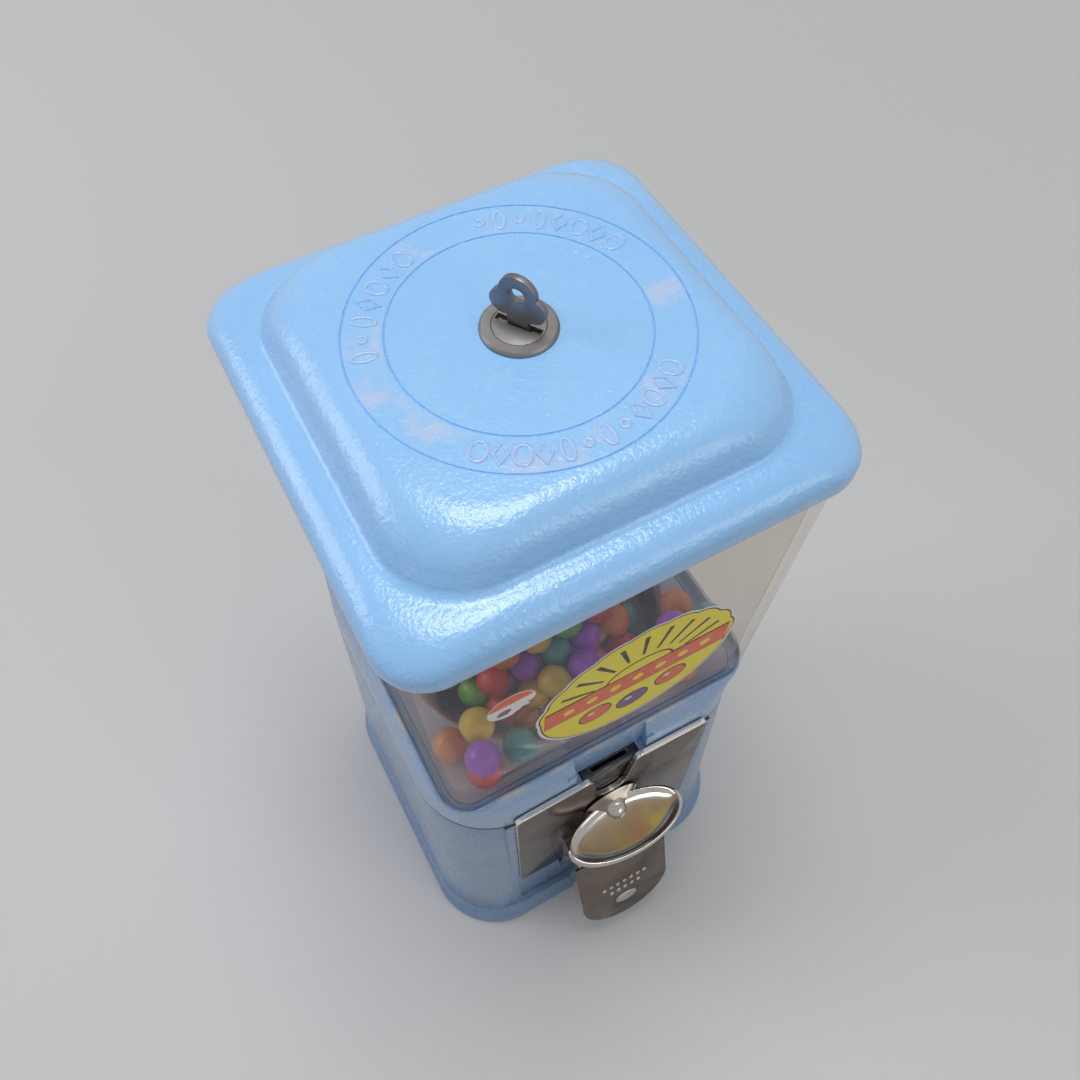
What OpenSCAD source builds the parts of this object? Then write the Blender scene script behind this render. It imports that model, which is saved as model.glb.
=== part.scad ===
// Countertop gumball machine: drafted cast housing, coin mechanism with a
// half-moon handle, ball wheel driven through a crown gear, square glass globe
// and a lift-off lid held by a key lock on a centre rod.
// Millimetres, +Z up, the front faces -Y. The origin is the centre of the foot.

/* [Housing] */
// Width of the housing at the seam below the collar
body_w = 178; // [164:1:196]
// How far each wall leans out from the seam down to the base plate
body_lean = 5; // [2:0.5:8]
// How far the base plate flares out below the housing
foot_flare = 4; // [2:0.5:8]
// Height of the base plate
base_h = 16; // [14:1:22]
// Height of the lower housing
body_h = 172; // [156:1:192]
// Radius of the housing's upright corners
body_r = 40; // [34:1:44]
// Thickness of the cast walls
wall = 4.5; // [3.5:0.5:5.5]
// Thickness of the base plate's floor
floor_t = 4; // [3:0.5:6]
// How far the flat front panel stands out from the seam's edge
panel_out = 0.2; // [0:0.1:1]

/* [Collar and hopper] */
// Height of the collar above the seam
collar_h = 34; // [32:1:40]
// How far the collar leans in from the seam to its top
collar_lean = 4.7; // [4:0.1:7]
// Width of the rim round the globe's foot
collar_rim = 2.1; // [1.6:0.1:3]
// Width of the coin notch in the collar
notch_w = 40; // [34:1:44]
// Width of the ledge between the globe's outside and the round pit
ledge_w = 14.2; // [13:0.1:16]

/* [Globe] */
// How far each pane leans out from the foot to the rim
globe_lean = 5.5; // [0:0.5:8]
// Height of the globe
globe_h = 182; // [150:1:230]
// Thickness of the glass
glass_t = 4; // [3:0.5:5]
// Radius of the globe's upright corners
globe_r = 13; // [10:1:20]

/* [Lid] */
// How far the lid reaches past the globe's rim
lid_over = 4.3; // [3.5:0.1:7]
// Height of the lid
lid_h = 34.5; // [32:0.5:44]
// Width of the flange round the lid's raised middle
lid_step = 16.5; // [14:0.5:22]
// Thickness of the lid's roof
lid_t = 4; // [3:0.5:5]
// How far the lid's skirt reaches down over the globe
lid_lap = 7; // [5:1:12]

/* [Coin mechanism] */
// Width of the chromed front plate
plate_w = 110; // [104:1:112]
// Height of the front plate
plate_h = 124; // [112:1:136]
// How far the front plate reaches above the seam
plate_rise = 10; // [9:0.5:12]
// Thickness of the front plate
plate_t = 3; // [2:0.5:3.5]
// Depth of the handle hub's axis below the seam
shaft_drop = 36.3; // [35.5:0.1:37.3]
// Radius of the handle's shaft
shaft_r = 5; // [4:0.5:6]
// Half length of the half-moon handle
wing_r = 34; // [28:0.5:38]
// How far the handle stands out from the front plate
handle_out = 31.8; // [28:0.2:36]
// Radius of the coin wheel
coin_wheel_r = 35.5; // [32:0.5:36.5]
// Diameter of the coin the machine takes
coin_d = 19; // [17:0.1:21.2]
// Thickness of the coin
coin_t = 1.6; // [1.2:0.1:2]

/* [Ball drive] */
// Diameter of a gumball
ball_d = 17; // [14:0.5:17.5]
// Radius of the centre rod
rod_r = 4; // [3:0.5:5]

/* [Chute] */
// Half width of the spout
spout_r = 27; // [24:1:28]
// How far the flap reaches past the spout on each side
flap_over = 2; // [1:0.5:3]
// Lean of the flap from the upright
flap_lean = 13.7; // [10:0.1:16]
// Height of the flap's lowest point
flap_low = 22; // [20:1:30]
// Thickness of the flap
flap_t = 2; // [1.5:0.5:2.5]

/* [Lock and key] */
// Radius of the lock's face
lock_r = 13.8; // [12.5:0.1:15]
// Height of the lock's face above the lid
lock_h = 1.8; // [1.4:0.1:3]
// Turn of the keyhole from the X axis
key_turn = -57; // [-90:1:90]
// Width of the key's bow
bow_w = 21; // [18:0.5:24]

/* [Hidden] */

// Clearances and common sizes
fit = 0.4;          // between parts that drop into each other
run = 0.06;         // radial, round a turning shaft
gap = 0.3;          // between faces of parts that move past each other
seg = 10;           // segments in each quarter of a rounded corner
eps = 0.01;         // overreach of a cut
screw_r = 2;        // small machine screws
head_r = 3.8;
head_h = 2.4;
$fn = 64;

// Levels
body_half = body_w/2;
body_low = body_half + body_lean;
foot_half = body_low + foot_flare;
seam_z = base_h + body_h;
collar_top_z = seam_z + collar_h;
socket_deep = 6;
seat_z = collar_top_z - socket_deep;    // the globe stands here
globe_top_z = seat_z + globe_h;
gasket_t = 1.5;
lid_z = globe_top_z - lid_lap;
lid_top_z = lid_z + lid_h;
lid_seat_z = globe_top_z + gap + gasket_t;
lock_top_z = lid_top_z + lock_h;

// Collar, hopper and wheel
ledge_t = 7;                            // thickness of the collar's inner ledge
rim_r = globe_r + 5;                    // corners of the collar's rim
flange_t = 3;                           // thickness of the hopper's square flange
collar_top = body_half - collar_lean;
globe_half = collar_top - collar_rim;
globe_top = globe_half + globe_lean;
lid_half = globe_top + lid_over;
ledge_half = globe_half - glass_t - 2;  // opening inside the ledge
flange_half = globe_half - glass_t - fit;
pit_r = globe_half - ledge_w;
hopper_t = 3;
wheel_r = pit_r - 2;
crown_r = wheel_r - 6;                  // pitch radius of the crown's teeth
shaft_z = seam_z - shaft_drop;
pockets = 5;
pinion_teeth = 8;
crown_teeth = pockets*pinion_teeth;     // one turn of the handle brings the next pocket
pitch_r = crown_r*pinion_teeth/crown_teeth;
mesh_z = shaft_z + pitch_r;             // pitch line of the crown
tooth_up = 2.3;
tooth_down = 2.7;
wheel_z = mesh_z + tooth_up + 0.5;      // underside of the ball wheel
wheel_t = 16;
wheel_top_z = wheel_z + wheel_t;
well_z = mesh_z - tooth_down - 0.5;     // lower end of the hopper's well
pocket_r = ball_d/2 + 2;
pocket_at = crown_r - 22;               // pockets lie inside the crown
guard_z = wheel_top_z + 1;
guard_t = 2.5;
hub_r = 12;
hub_up = 6;
clip_t = 3;                             // collar on the rod above the wheel
clip_w = 3;
floor_plate_t = 3;                      // thickness of the disc under the wheel
floor_skirt = 5;                        // thickness of the skirt under that disc
lug_r = 7;                              // lugs for the base screws
lug_h = 24;
floor_screw_l = 9;                      // reach of the floor screws into the hopper's lugs
crown_w = 11.8;                         // length of the crown's teeth, across the pinion
crown_tooth = 3.2;                      // and their thickness
pinion_root = 4.2;                      // thickness of the pinion's teeth at the root,
pinion_pitch = 3.2;                     // at the pitch circle
pinion_tip = 1.6;                       // and at the tip

// Mechanism, front to back
panel_y = body_half + panel_out;
plate_front = -panel_y - plate_t;
plate_top = seam_z + plate_rise;
plate_low = plate_top - plate_h;
wall_back = wall - body_half;           // back of the thickened front wall
coin_wheel_front = -panel_y + 0.7;
coin_wheel_t = 8;
coin_slot_y = coin_wheel_front + 2.2;
frame_front = coin_wheel_front + coin_wheel_t + 1.5;
frame_t = 3;
frame_back = frame_front + frame_t;
opening_half = coin_wheel_r + 8.5;      // opening in the housing's front
opening_low = shaft_z - coin_wheel_r - 6.5;
frame_half = opening_half + 6;
frame_low = opening_low - 4;
frame_top = seam_z - 2;
cheek_t = 3.5;                          // side flanges of the frame
stud_at_x = opening_half - 4;
stud_high = seam_z - 6;
stud_low = opening_low + 6;
ratchet_t = 3.4;
ratchet_front = frame_back + 0.6;
pinion_t = 8;
shaft_back = pinion_t/2 + 2 - crown_r;
guide_half = 16;
guide_top = plate_top - 0.6;
shaft_nose = 8;                         // reach of the shaft into the handle's hub
ratchet_teeth = 12;
ratchet_r = 14;
ratchet_root = 11;
ratchet_mid = (ratchet_root + ratchet_r)/2;
pawl_x = 19;
pawl_up = 25;                           // height of the pawl's pin above the shaft
pawl_z = shaft_z + pawl_up;
pawl_pin_r = 2;

// Chute and flap
pin_r = 1.5;
knuckle_r = 3.2;
ear_r = 4;
ear_t = 4;
hinge_out = 12.8;                       // the hinge stands clear of the plate
hinge_z = shaft_z - wing_r - ear_r - 1.2;   // the handle sweeps over the ears
hinge_y = plate_front - hinge_out;
flap_r = spout_r + flap_over;
knuckle_half = spout_r - ear_t - 0.6;
spout_wall = 2.5;
spout_lip = 35;                         // reach of the spout's floor past the hinge
spout_blank = spout_lip + 10;           // length of the spout before the flap's slope cuts it
spout_mid_z = flap_low + flap_r;
flap_len = (hinge_z - flap_low)/cos(flap_lean);
duct_r = 11;
channel_back = duct_r - pocket_at;
channel_fall = 30;
channel_h = 22;
mouth_z = spout_mid_z;                  // floor of the channel where it meets the spout
channel_back_z = mouth_z + (channel_back - wall_back)*tan(channel_fall);
chute_t = 2;

// ---------------------------------------------------------------- shapes

// One ring of a rounded square: half width h, corner radius r, height z
function ring(h, r, z) = [for (k = [0:3]) for (i = [0:seg])
    let (a = 90*(k + i/seg),
         cx = (k == 0 || k == 3 ? 1 : -1)*(h - r),
         cy = (k < 2 ? 1 : -1)*(h - r))
    [cx + r*cos(a), cy + r*sin(a), z]];

// Solid skin through rings given as [half width, corner radius, height]
module loft(rings) {
    m = 4*(seg + 1);
    n = len(rings);
    points = [for (s = rings) each ring(s[0], s[1], s[2])];
    sides = [for (j = [0:n-2]) for (i = [0:m-1])
        let (a = j*m + i, b = j*m + (i+1)%m) each [[a, a+m, b+m], [a, b+m, b]]];
    polyhedron(faces = concat([[for (i = [0:m-1]) i]], sides,
                      [[for (i = [m-1:-1:0]) (n-1)*m + i]]), points = points);
}

// Rounded square of half width h and corner radius r
module rounded(h, r) {
    square([2*h, 2*(h - r)], center = true);
    square([2*(h - r), 2*h], center = true);
    for (x = [-1, 1], y = [-1, 1])
        translate([x*(h - r), y*(h - r)]) circle(r);
}

module block(h, r, z0, z1) {
    translate([0, 0, z0]) linear_extrude(z1 - z0) rounded(h, r);
}

// Cylinder along Y from y0 back to y1
module ycyl(r, y0, y1) {
    translate([0, y1, 0]) rotate([90, 0, 0]) cylinder(r = r, h = y1 - y0);
}

// Extrudes a shape drawn in X and Z from y0 back to y1
module yslab(y0, y1) {
    translate([0, y1, 0]) rotate([90, 0, 0]) linear_extrude(y1 - y0) children();
}

module zcyl(r, z0, z1) {
    translate([0, 0, z0]) cylinder(r = r, h = z1 - z0);
}

// Half width of the housing's drafted wall at height z
function wall_at(z) = body_low - body_lean*(z - base_h)/body_h;
// Half width of the globe's outside at height z
function globe_out(z) = globe_half + globe_lean*(z - seat_z)/globe_h;

// U outline of the spout: half width r about the spout's middle, open above
module u_shape(r, top) {
    translate([0, spout_mid_z]) circle(r);
    translate([-r, spout_mid_z]) square([2*r, top - spout_mid_z]);
}

// Everything in front of the flap's plane, moved back by d
beyond = 100;
module beyond_flap(d) {
    translate([0, hinge_y, hinge_z]) rotate([-flap_lean, 0, 0])
        translate([-flap_r - 1, -beyond - knuckle_r + d, -2*beyond]) cube([2*flap_r + 2, beyond, 4*beyond]);
}

module corner_screws(at) {
    for (x = [-1, 1], y = [-1, 1]) translate([x*at, y*at, 0]) children();
}

// ---------------------------------------------------------------- housing

base_screw_at = body_low - 18;
base_screw_l = 14;                      // reach of the base screws into the lugs
stand_at = 60;                          // holes for a stand
stand_hole_r = 3.5;
boss_r = 12;                            // boss that holds the centre rod
boss_h = 2*base_h - 2;
boss_low = floor_t + 2;
foot_wall = 7;                          // thickness of the base plate's edge
slot_w_small = 0.8;                     // driver's slot

module base_plate() color("LightSkyBlue") difference() {
    union() {
        difference() {
            loft([[foot_half - 1, body_r, 0], [foot_half, body_r + 1, 1.2],
                  [foot_half, body_r + 1, base_h/4],
                  [body_low + foot_flare/2, body_r + 1, base_h/2 + 1],
                  [body_low + foot_flare/5, body_r + 1, base_h - 3],
                  [body_low, body_r + 1, base_h]]);
            block(body_low - foot_wall, body_r - foot_wall + 1, floor_t, base_h + eps);
        }
        zcyl(boss_r, eps, boss_h);
        corner_screws(base_screw_at) zcyl(lug_r + 0.5, eps, base_h);
    }
    zcyl(rod_r + run, boss_low, boss_h + 1);
    corner_screws(base_screw_at) {
        zcyl(screw_r + 0.2, -eps, base_h + eps);
        zcyl(head_r + 0.3, -eps, head_h + 0.6);
    }
    corner_screws(stand_at) zcyl(stand_hole_r, -eps, floor_t + eps);
}

module base_screws() color("DimGray") corner_screws(base_screw_at) difference() {
    union() {
        zcyl(head_r, 0.6, head_h + 0.6);
        zcyl(screw_r, head_h + 0.3, base_h + base_screw_l);
    }
    // Slot for the driver
    translate([-head_r, -slot_w_small/2, 0]) cube([2*head_r, slot_w_small, 1.5]);
}

module wall_skin(inset, z0, z1) {
    loft([[wall_at(z0) - inset, body_r - inset, z0], [wall_at(z1) - inset, body_r - inset, z1]]);
}

// What the flat front panel takes off the wall
module panel_recess(z0, z1) {
    translate([-plate_w/2 - 1, -foot_half, z0]) cube([plate_w + 2, foot_half - panel_y, z1 - z0]);
}

module lower_housing() color("LightSkyBlue") difference() {
    union() {
        difference() {
            wall_skin(0, base_h, seam_z);
            wall_skin(wall, base_h - 1, seam_z + 1);
        }
        // Thickened front wall behind the flat panel
        intersection() {
            wall_skin(1, base_h, seam_z);
            translate([-plate_w/2 - 5, -foot_half, base_h])
                cube([plate_w + 10, foot_half + wall_back, body_h]);
        }
        // Lugs for the base screws
        intersection() {
            wall_skin(1, base_h, seam_z);
            corner_screws(base_screw_at) zcyl(lug_r, base_h, base_h + lug_h);
        }
    }
    panel_recess(base_h - 1, seam_z + 1);
    corner_screws(base_screw_at) zcyl(screw_r, base_h - 1, base_h + base_screw_l + 2);
    // Opening for the coin mechanism, and the spout's opening below it
    translate([-opening_half, -foot_half, opening_low])
        cube([2*opening_half, foot_half - panel_y + 2*wall, seam_z - opening_low + 1]);
    yslab(-foot_half, 2*wall - panel_y) u_shape(spout_r + fit, opening_low + 1);
}

// ---------------------------------------------------------------- collar and hopper

module collar() color("LightSkyBlue") difference() {
    // Shoulder that closes in from the seam to the globe's rim
    loft([[body_half, body_r, seam_z], [body_half - 0.7, body_r - 3, seam_z + 0.41*collar_h],
          [body_half - 2.2, (body_r + rim_r + 4)/2, seam_z + 0.68*collar_h],
          [collar_top + 1, rim_r + 4, collar_top_z - 5], [collar_top + 0.5, rim_r + 2, collar_top_z - 1.5],
          [collar_top - 0.4, rim_r, collar_top_z]]);
    // Socket for the globe, seat for the hopper's flange, and the throat
    block(globe_half + fit, globe_r + fit, seat_z, collar_top_z + 1);
    block(flange_half + fit, globe_r - 2, seat_z - flange_t, seat_z + eps);
    block(ledge_half, globe_r - 1, seam_z - 1, seat_z);
    // Hollow under the ledge
    difference() {
        loft([[body_half - wall, body_r - wall, seam_z - 1],
              [body_half - wall - 2, body_r - 2*wall - 1.5, seat_z - ledge_t]]);
        translate([-guide_half - 8, -foot_half, seam_z - 2])
            cube([2*guide_half + 16, foot_half + frame_back, seat_z]);
    }
    // Coin notch, and the room for the coin guide and the frame under it
    translate([-notch_w/2, -foot_half, guide_top - 0.5])
        cube([notch_w, foot_half - globe_half - fit - 1, collar_h]);
    translate([-guide_half - fit, -foot_half, seam_z - 1])
        cube([2*(guide_half + fit), foot_half + frame_back + fit, guide_top + fit - seam_z + 1]);
    // The front plate lies against a flat
    panel_recess(seam_z - 1, plate_top + 1);
}

hopper_screw_at = pit_r + hopper_t + 4;
arm_angles = [0, 90, 180];
arm_t = 5;                              // arms of the wheel floor, under the hopper
arm_z = well_z - arm_t;
disc_r = crown_r - 10;

module hopper() color("RosyBrown") difference() {
    union() {
        block(flange_half, globe_r - 2.4, seat_z - flange_t, seat_z);
        zcyl(pit_r + hopper_t, well_z, seat_z - flange_t + eps);
        for (a = arm_angles) rotate(a) translate([hopper_screw_at - 2, 0, 0])
            zcyl(lug_r - 1, well_z, well_z + 14);
    }
    zcyl(pit_r, well_z - 1, seat_z + 1);
    // Rounded mouth of the pit
    translate([0, 0, seat_z - 2]) cylinder(r1 = pit_r - eps, r2 = pit_r + 2.5, h = 2 + eps);
    for (a = arm_angles) rotate(a) translate([hopper_screw_at, 0, 0])
        zcyl(screw_r, well_z - 1, well_z + floor_screw_l + 1);
}

// Collar on the rod that keeps the wheel down
module wheel_clip() color("Goldenrod") difference() {
    zcyl(rod_r + clip_w, wheel_top_z + hub_up + gap, wheel_top_z + hub_up + gap + clip_t);
    zcyl(rod_r, 0, lid_z);
}

module wheel_floor() color("Silver") difference() {
    union() {
        zcyl(disc_r, wheel_z - gap - floor_plate_t, wheel_z - gap);
        difference() {
            zcyl(disc_r, arm_z, wheel_z - gap - 2);
            zcyl(disc_r - floor_skirt, arm_z - 1, wheel_z - gap - floor_plate_t);
        }
        zcyl(hub_r, arm_z, wheel_z - gap - 2);
        for (a = arm_angles) rotate(a)
            translate([hub_r/2, -lug_r + 1, arm_z]) cube([hopper_screw_at - 2, 2*lug_r - 2, arm_t]);
        for (a = arm_angles) rotate(a) translate([hopper_screw_at, 0, 0])
            zcyl(lug_r - 1, arm_z, well_z);
        // Collar round the exit hole
        translate([0, -pocket_at, 0]) zcyl(pocket_r + 2, arm_z, wheel_z - gap - 2);
    }
    zcyl(rod_r + run, 0, wheel_z);
    translate([0, -pocket_at, 0]) zcyl(pocket_r, arm_z - 1, wheel_z);
    for (a = arm_angles) rotate(a) translate([hopper_screw_at, 0, 0])
        zcyl(screw_r + 0.2, arm_z - 1, well_z + 1);
}

module floor_screws() color("DimGray") for (a = arm_angles)
    rotate(a) translate([hopper_screw_at, 0, 0]) {
        zcyl(head_r, arm_z - head_h, arm_z);
        zcyl(screw_r, arm_z - eps, well_z + floor_screw_l);
    }

guard_half = 21;
guard_nose = 8;                         // half width of the end over the pocket
guard_lip = 12;                         // height of the flange against the pit's wall
guard_lip_t = 3.5;

// Keeps all but the ball in the pocket from the exit hole
module ball_guard() color("Silver") intersection() {
    union() {
        translate([0, 0, guard_z]) linear_extrude(guard_t)
            polygon([[-guard_nose, pocket_r + 3 - pocket_at], [guard_nose, pocket_r + 3 - pocket_at],
                     [guard_half, -pit_r], [-guard_half, -pit_r]]);
        translate([-guard_half, -pit_r - 1, guard_z]) cube([2*guard_half, guard_lip_t, guard_lip]);
    }
    zcyl(pit_r - eps, 0, lid_z);
}

// ---------------------------------------------------------------- globe and rod

module globe() color("Tan", 0.35) difference() {
    loft([[globe_half - 2, globe_r - 1, seat_z], [globe_half + 0.1, globe_r, seat_z + 5],
          [globe_out(globe_top_z - 1), globe_r + 2, globe_top_z - 1],
          [globe_out(globe_top_z) - 0.8, globe_r + 2, globe_top_z]]);
    loft([[globe_half - glass_t, globe_r - 4, seat_z - 1],
          [globe_half - glass_t, globe_r - 4, seat_z + 5],
          [globe_out(globe_top_z) - glass_t, globe_r - 2, globe_top_z + 1]]);
}

stem_r = 4;              // nose of the lock plug
socket_h = 16;
socket_wall = 4;
socket_flange = 5.5;
socket_flange_t = 6;
rod_top_z = lid_seat_z;
socket_z = rod_top_z - socket_h/2;

module centre_rod() color("Gray") difference() {
    zcyl(rod_r, boss_low, rod_top_z);
    // Chamfered upper end
    translate([0, 0, rod_top_z - 1]) difference() {
        zcyl(rod_r + 1, 0, 2);
        cylinder(r1 = rod_r, r2 = rod_r - 1, h = 1 + eps);
    }
}

module rod_socket() color("Goldenrod") difference() {
    union() {
        zcyl(stem_r + socket_wall, socket_z, socket_z + socket_h);
        zcyl(stem_r + socket_flange, socket_z, socket_z + socket_flange_t);
    }
    zcyl(rod_r + run, socket_z - 1, rod_top_z);
    zcyl(stem_r + 0.6, rod_top_z - eps, socket_z + socket_h + 1);
}

// ---------------------------------------------------------------- coin mechanism

coin_notch_r = 8.5;                     // round foot of the coin notch in the plate
coin_notch_top = 12.5;                  // its half width at the top
coin_notch_z = shaft_z + 22;
plate_r = 4;                            // corners of the plate

module plate_outline() {
    mid = plate_top - plate_h/2;
    difference() {
        union() {
            translate([0, mid]) square([plate_w - 2*plate_r, plate_h], center = true);
            translate([0, mid]) square([plate_w, plate_h - 2*plate_r], center = true);
            for (x = [-1, 1], z = [-1, 1])
                translate([x*(plate_w/2 - plate_r), mid + z*(plate_h/2 - plate_r)]) circle(plate_r);
            // Horns beside the coin notch
            for (x = [-1, 1]) translate([x*guide_half, plate_top - plate_r/2]) circle(plate_r);
        }
        polygon([[-coin_notch_top, plate_top + plate_r], [coin_notch_top, plate_top + plate_r],
                 [coin_notch_r, coin_notch_z], [-coin_notch_r, coin_notch_z]]);
        translate([0, coin_notch_z]) circle(coin_notch_r);
        u_shape(spout_r, hinge_z - 1);
        translate([0, shaft_z]) circle(shaft_r + run);
    }
}

module studs(r, y0, y1) {
    for (x = [-stud_at_x, stud_at_x], z = [stud_low, stud_high])
        translate([x, 0, z]) ycyl(r, y0, y1);
}

module front_plate() color("Silver") {
    yslab(plate_front, -panel_y) plate_outline();
    studs(screw_r, -panel_y - eps, frame_back + 4);
    // Boss that carries the shaft
    difference() {
        translate([0, 0, shaft_z]) ycyl(shaft_r + 4, plate_front - 0.4, -panel_y);
        translate([0, 0, shaft_z]) ycyl(shaft_r + run, plate_front - 2, -panel_y + 1);
    }
}

module mech_frame() color("DarkGray") difference() {
    union() {
        translate([-frame_half, frame_front, frame_low])
            cube([2*frame_half, frame_t, frame_top - frame_low]);
        for (x = [-frame_half, frame_half - cheek_t])
            translate([x, wall_back, frame_low])
                cube([cheek_t, frame_front - wall_back + eps, frame_top - frame_low]);
        translate([-guide_half, frame_front, frame_top - 2])
            cube([2*guide_half, frame_t, guide_top - frame_top + 2]);
        translate([0, 0, shaft_z]) ycyl(shaft_r + 4, frame_front - 0.4, frame_back + 0.2);
        translate([pawl_x, 0, pawl_z]) ycyl(pawl_pin_r, frame_back - eps, ratchet_front + ratchet_t + 0.4);
    }
    translate([0, 0, shaft_z]) ycyl(shaft_r + run, frame_front - 1, frame_back + 1);
    studs(screw_r + 0.2, frame_front - 1, frame_back + 1);
}

module mech_nuts() color("DimGray")
    for (x = [-stud_at_x, stud_at_x], z = [stud_low, stud_high])
        translate([x, frame_back + 3, z]) rotate([90, 0, 0]) difference() {
            cylinder(r = 4, h = 3, $fn = 6);
            translate([0, 0, -1]) cylinder(r = screw_r, h = 5);
        }

ridge_w = 1.1;                          // stepped ridges on the guide's top
ridge_pitch = 2.2;

module coin_guide() color([0.06, 0.06, 0.07]) difference() {
    translate([-guide_half, coin_wheel_front - 0.4, shaft_z + coin_wheel_r - 6])
        cube([2*guide_half, frame_front - coin_wheel_front + 0.4,
              guide_top - shaft_z - coin_wheel_r + 6]);
    translate([0, 0, shaft_z]) ycyl(coin_wheel_r + 0.6, coin_wheel_front - 1, frame_front + 1);
    // Coin slot and the stepped ridges beside it
    translate([-coin_d/2 - 0.6, coin_slot_y - 0.4, shaft_z])
        cube([coin_d + 1.2, coin_t + 0.8, guide_top - shaft_z + 1]);
    for (i = [0:1])
        translate([-guide_half - 1, coin_slot_y + coin_t + 1.6 + ridge_pitch*i, guide_top - 1.4])
            cube([2*guide_half + 2, ridge_w, 3]);
}

module coin_wheel() color([0.08, 0.08, 0.09]) translate([0, 0, shaft_z]) difference() {
    ycyl(coin_wheel_r, coin_wheel_front, coin_wheel_front + coin_wheel_t);
    ycyl(shaft_r, coin_wheel_front - 1, coin_wheel_front + coin_wheel_t + 1);
    // Seat for the coin
    translate([-coin_d/2 - 0.5, coin_slot_y - 0.3, coin_wheel_r - coin_d*0.72])
        cube([coin_d + 1, coin_t + 0.6, coin_d]);
    // Turned ridges on the face
    for (r = [20, 25, 30]) difference() {
        ycyl(r + 1.4, coin_wheel_front - 1, coin_wheel_front + 0.9);
        ycyl(r, coin_wheel_front - 2, coin_wheel_front + 2);
    }
}

module handle_shaft() color("Gray") translate([0, 0, shaft_z])
    ycyl(shaft_r, plate_front - shaft_nose, shaft_back);

// Half-moon handle: a dished oval wing across a flared hub
wing_front = plate_front - handle_out;
wing_back = plate_front - 1.2;
wing_mid = (wing_front + wing_back)/2;
wing_half = (wing_back - wing_front)/2;
wing_t = 6;
web_t = 4;                              // thickness inside the rolled rim
wing_rim = 2.2;                         // width of the rim
handle_hub_r = 7.4;
handle_hub_l = 8;
flare_r = 16;                           // foot of the hub
flare_l = 8;

module oval(a, b) {
    polygon([for (i = [0:59]) [a*cos(6*i), b*sin(6*i)]]);
}

module handle() color("Gainsboro") difference() {
    translate([0, 0, shaft_z]) {
        difference() {
            translate([0, wing_mid, -wing_t/2]) linear_extrude(wing_t) oval(wing_r, wing_half);
            for (s = [-1, 1]) translate([0, wing_mid, s*(web_t/2 + wing_t/2) - wing_t/2])
                linear_extrude(wing_t) oval(wing_r - wing_rim, wing_half - wing_rim);
        }
        translate([0, plate_front - 0.7, 0]) rotate([90, 0, 0]) {
            cylinder(r1 = flare_r, r2 = handle_hub_r + 0.4, h = flare_l);
            cylinder(r = handle_hub_r, h = handle_hub_l);
            translate([0, 0, handle_hub_l]) sphere(r = handle_hub_r);
        }
    }
    translate([0, 0, shaft_z]) ycyl(shaft_r, plate_front - shaft_nose, plate_front + 1);
}

module ratchet() color("DarkGray") translate([0, 0, shaft_z]) difference() {
    yslab(ratchet_front, ratchet_front + ratchet_t)
        polygon([for (i = [0:ratchet_teeth-1]) let (a = 360/ratchet_teeth)
            each [[ratchet_root*cos(a*i), ratchet_root*sin(a*i)],
                  [ratchet_mid*cos(a*(i + 0.5)), ratchet_mid*sin(a*(i + 0.5))],
                  [ratchet_r*cos(a*(i + 1)), ratchet_r*sin(a*(i + 1))]]]);
    ycyl(shaft_r, ratchet_front - 1, ratchet_front + ratchet_t + 1);
}

module pawl() color("Gray") difference() {
    yslab(ratchet_front + 0.1, ratchet_front + ratchet_t - 0.1) {
        translate([pawl_x, pawl_z]) circle(4.5);
        // Arm whose tip lies on the crests of the ratchet's teeth
        polygon([[pawl_x + 4, pawl_z - 1], [pawl_x - 4, pawl_z - 1],
                 [ratchet_r + gap + 0.3, shaft_z + 6], [ratchet_r + gap + 0.2, shaft_z + 0.7],
                 [ratchet_r + 3.4, shaft_z + 0.7], [pawl_x - 0.5, shaft_z + 8]]);
    }
    translate([pawl_x, 0, pawl_z]) ycyl(pawl_pin_r + run, frame_back, ratchet_front + 8);
}

module pinion() color("Goldenrod") translate([0, 0, shaft_z]) difference() {
    union() {
        ycyl(pitch_r - tooth_down - 0.4, -crown_r - pinion_t/2, -crown_r + pinion_t/2);
        for (i = [0:pinion_teeth-1]) rotate([0, i*360/pinion_teeth, 0])
            yslab(-crown_r - pinion_t/2, -crown_r + pinion_t/2)
                polygon([[-pinion_root/2, shaft_r + 0.5], [pinion_root/2, shaft_r + 0.5],
                         [pinion_pitch/2, pitch_r], [pinion_tip/2, pitch_r + tooth_up],
                         [-pinion_tip/2, pitch_r + tooth_up], [-pinion_pitch/2, pitch_r]]);
    }
    ycyl(shaft_r, -crown_r - pinion_t, -crown_r + pinion_t);
}

// ---------------------------------------------------------------- ball wheel

module ball_wheel() color("SlateGray") difference() {
    union() {
        zcyl(wheel_r, wheel_z, wheel_top_z);
        for (i = [0:crown_teeth-1]) rotate((i + 0.5)*360/crown_teeth - 90)
            translate([crown_r - crown_w/2, -crown_tooth/2, mesh_z - tooth_down])
                cube([crown_w, crown_tooth, wheel_z - mesh_z + tooth_down + eps]);
        zcyl(hub_r - 3, wheel_top_z - eps, wheel_top_z + hub_up);
    }
    zcyl(rod_r + run, 0, lid_z);
    for (i = [0:pockets-1]) rotate(i*360/pockets - 90)
        translate([pocket_at, 0, 0]) zcyl(pocket_r, wheel_z - 1, wheel_top_z + 1);
}

// ---------------------------------------------------------------- chute

// Drop tube under the exit hole, then a covered channel that slopes out to the spout
module chute() color("Silver") difference() {
    union() {
        translate([0, -pocket_at, 0])
            zcyl(duct_r + chute_t, channel_back_z - chute_t, arm_z - gap);
        channel(chute_t, 0);
    }
    translate([0, -pocket_at, 0]) zcyl(duct_r, channel_back_z + 6, well_z);
    channel(0, 1);
}

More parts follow.
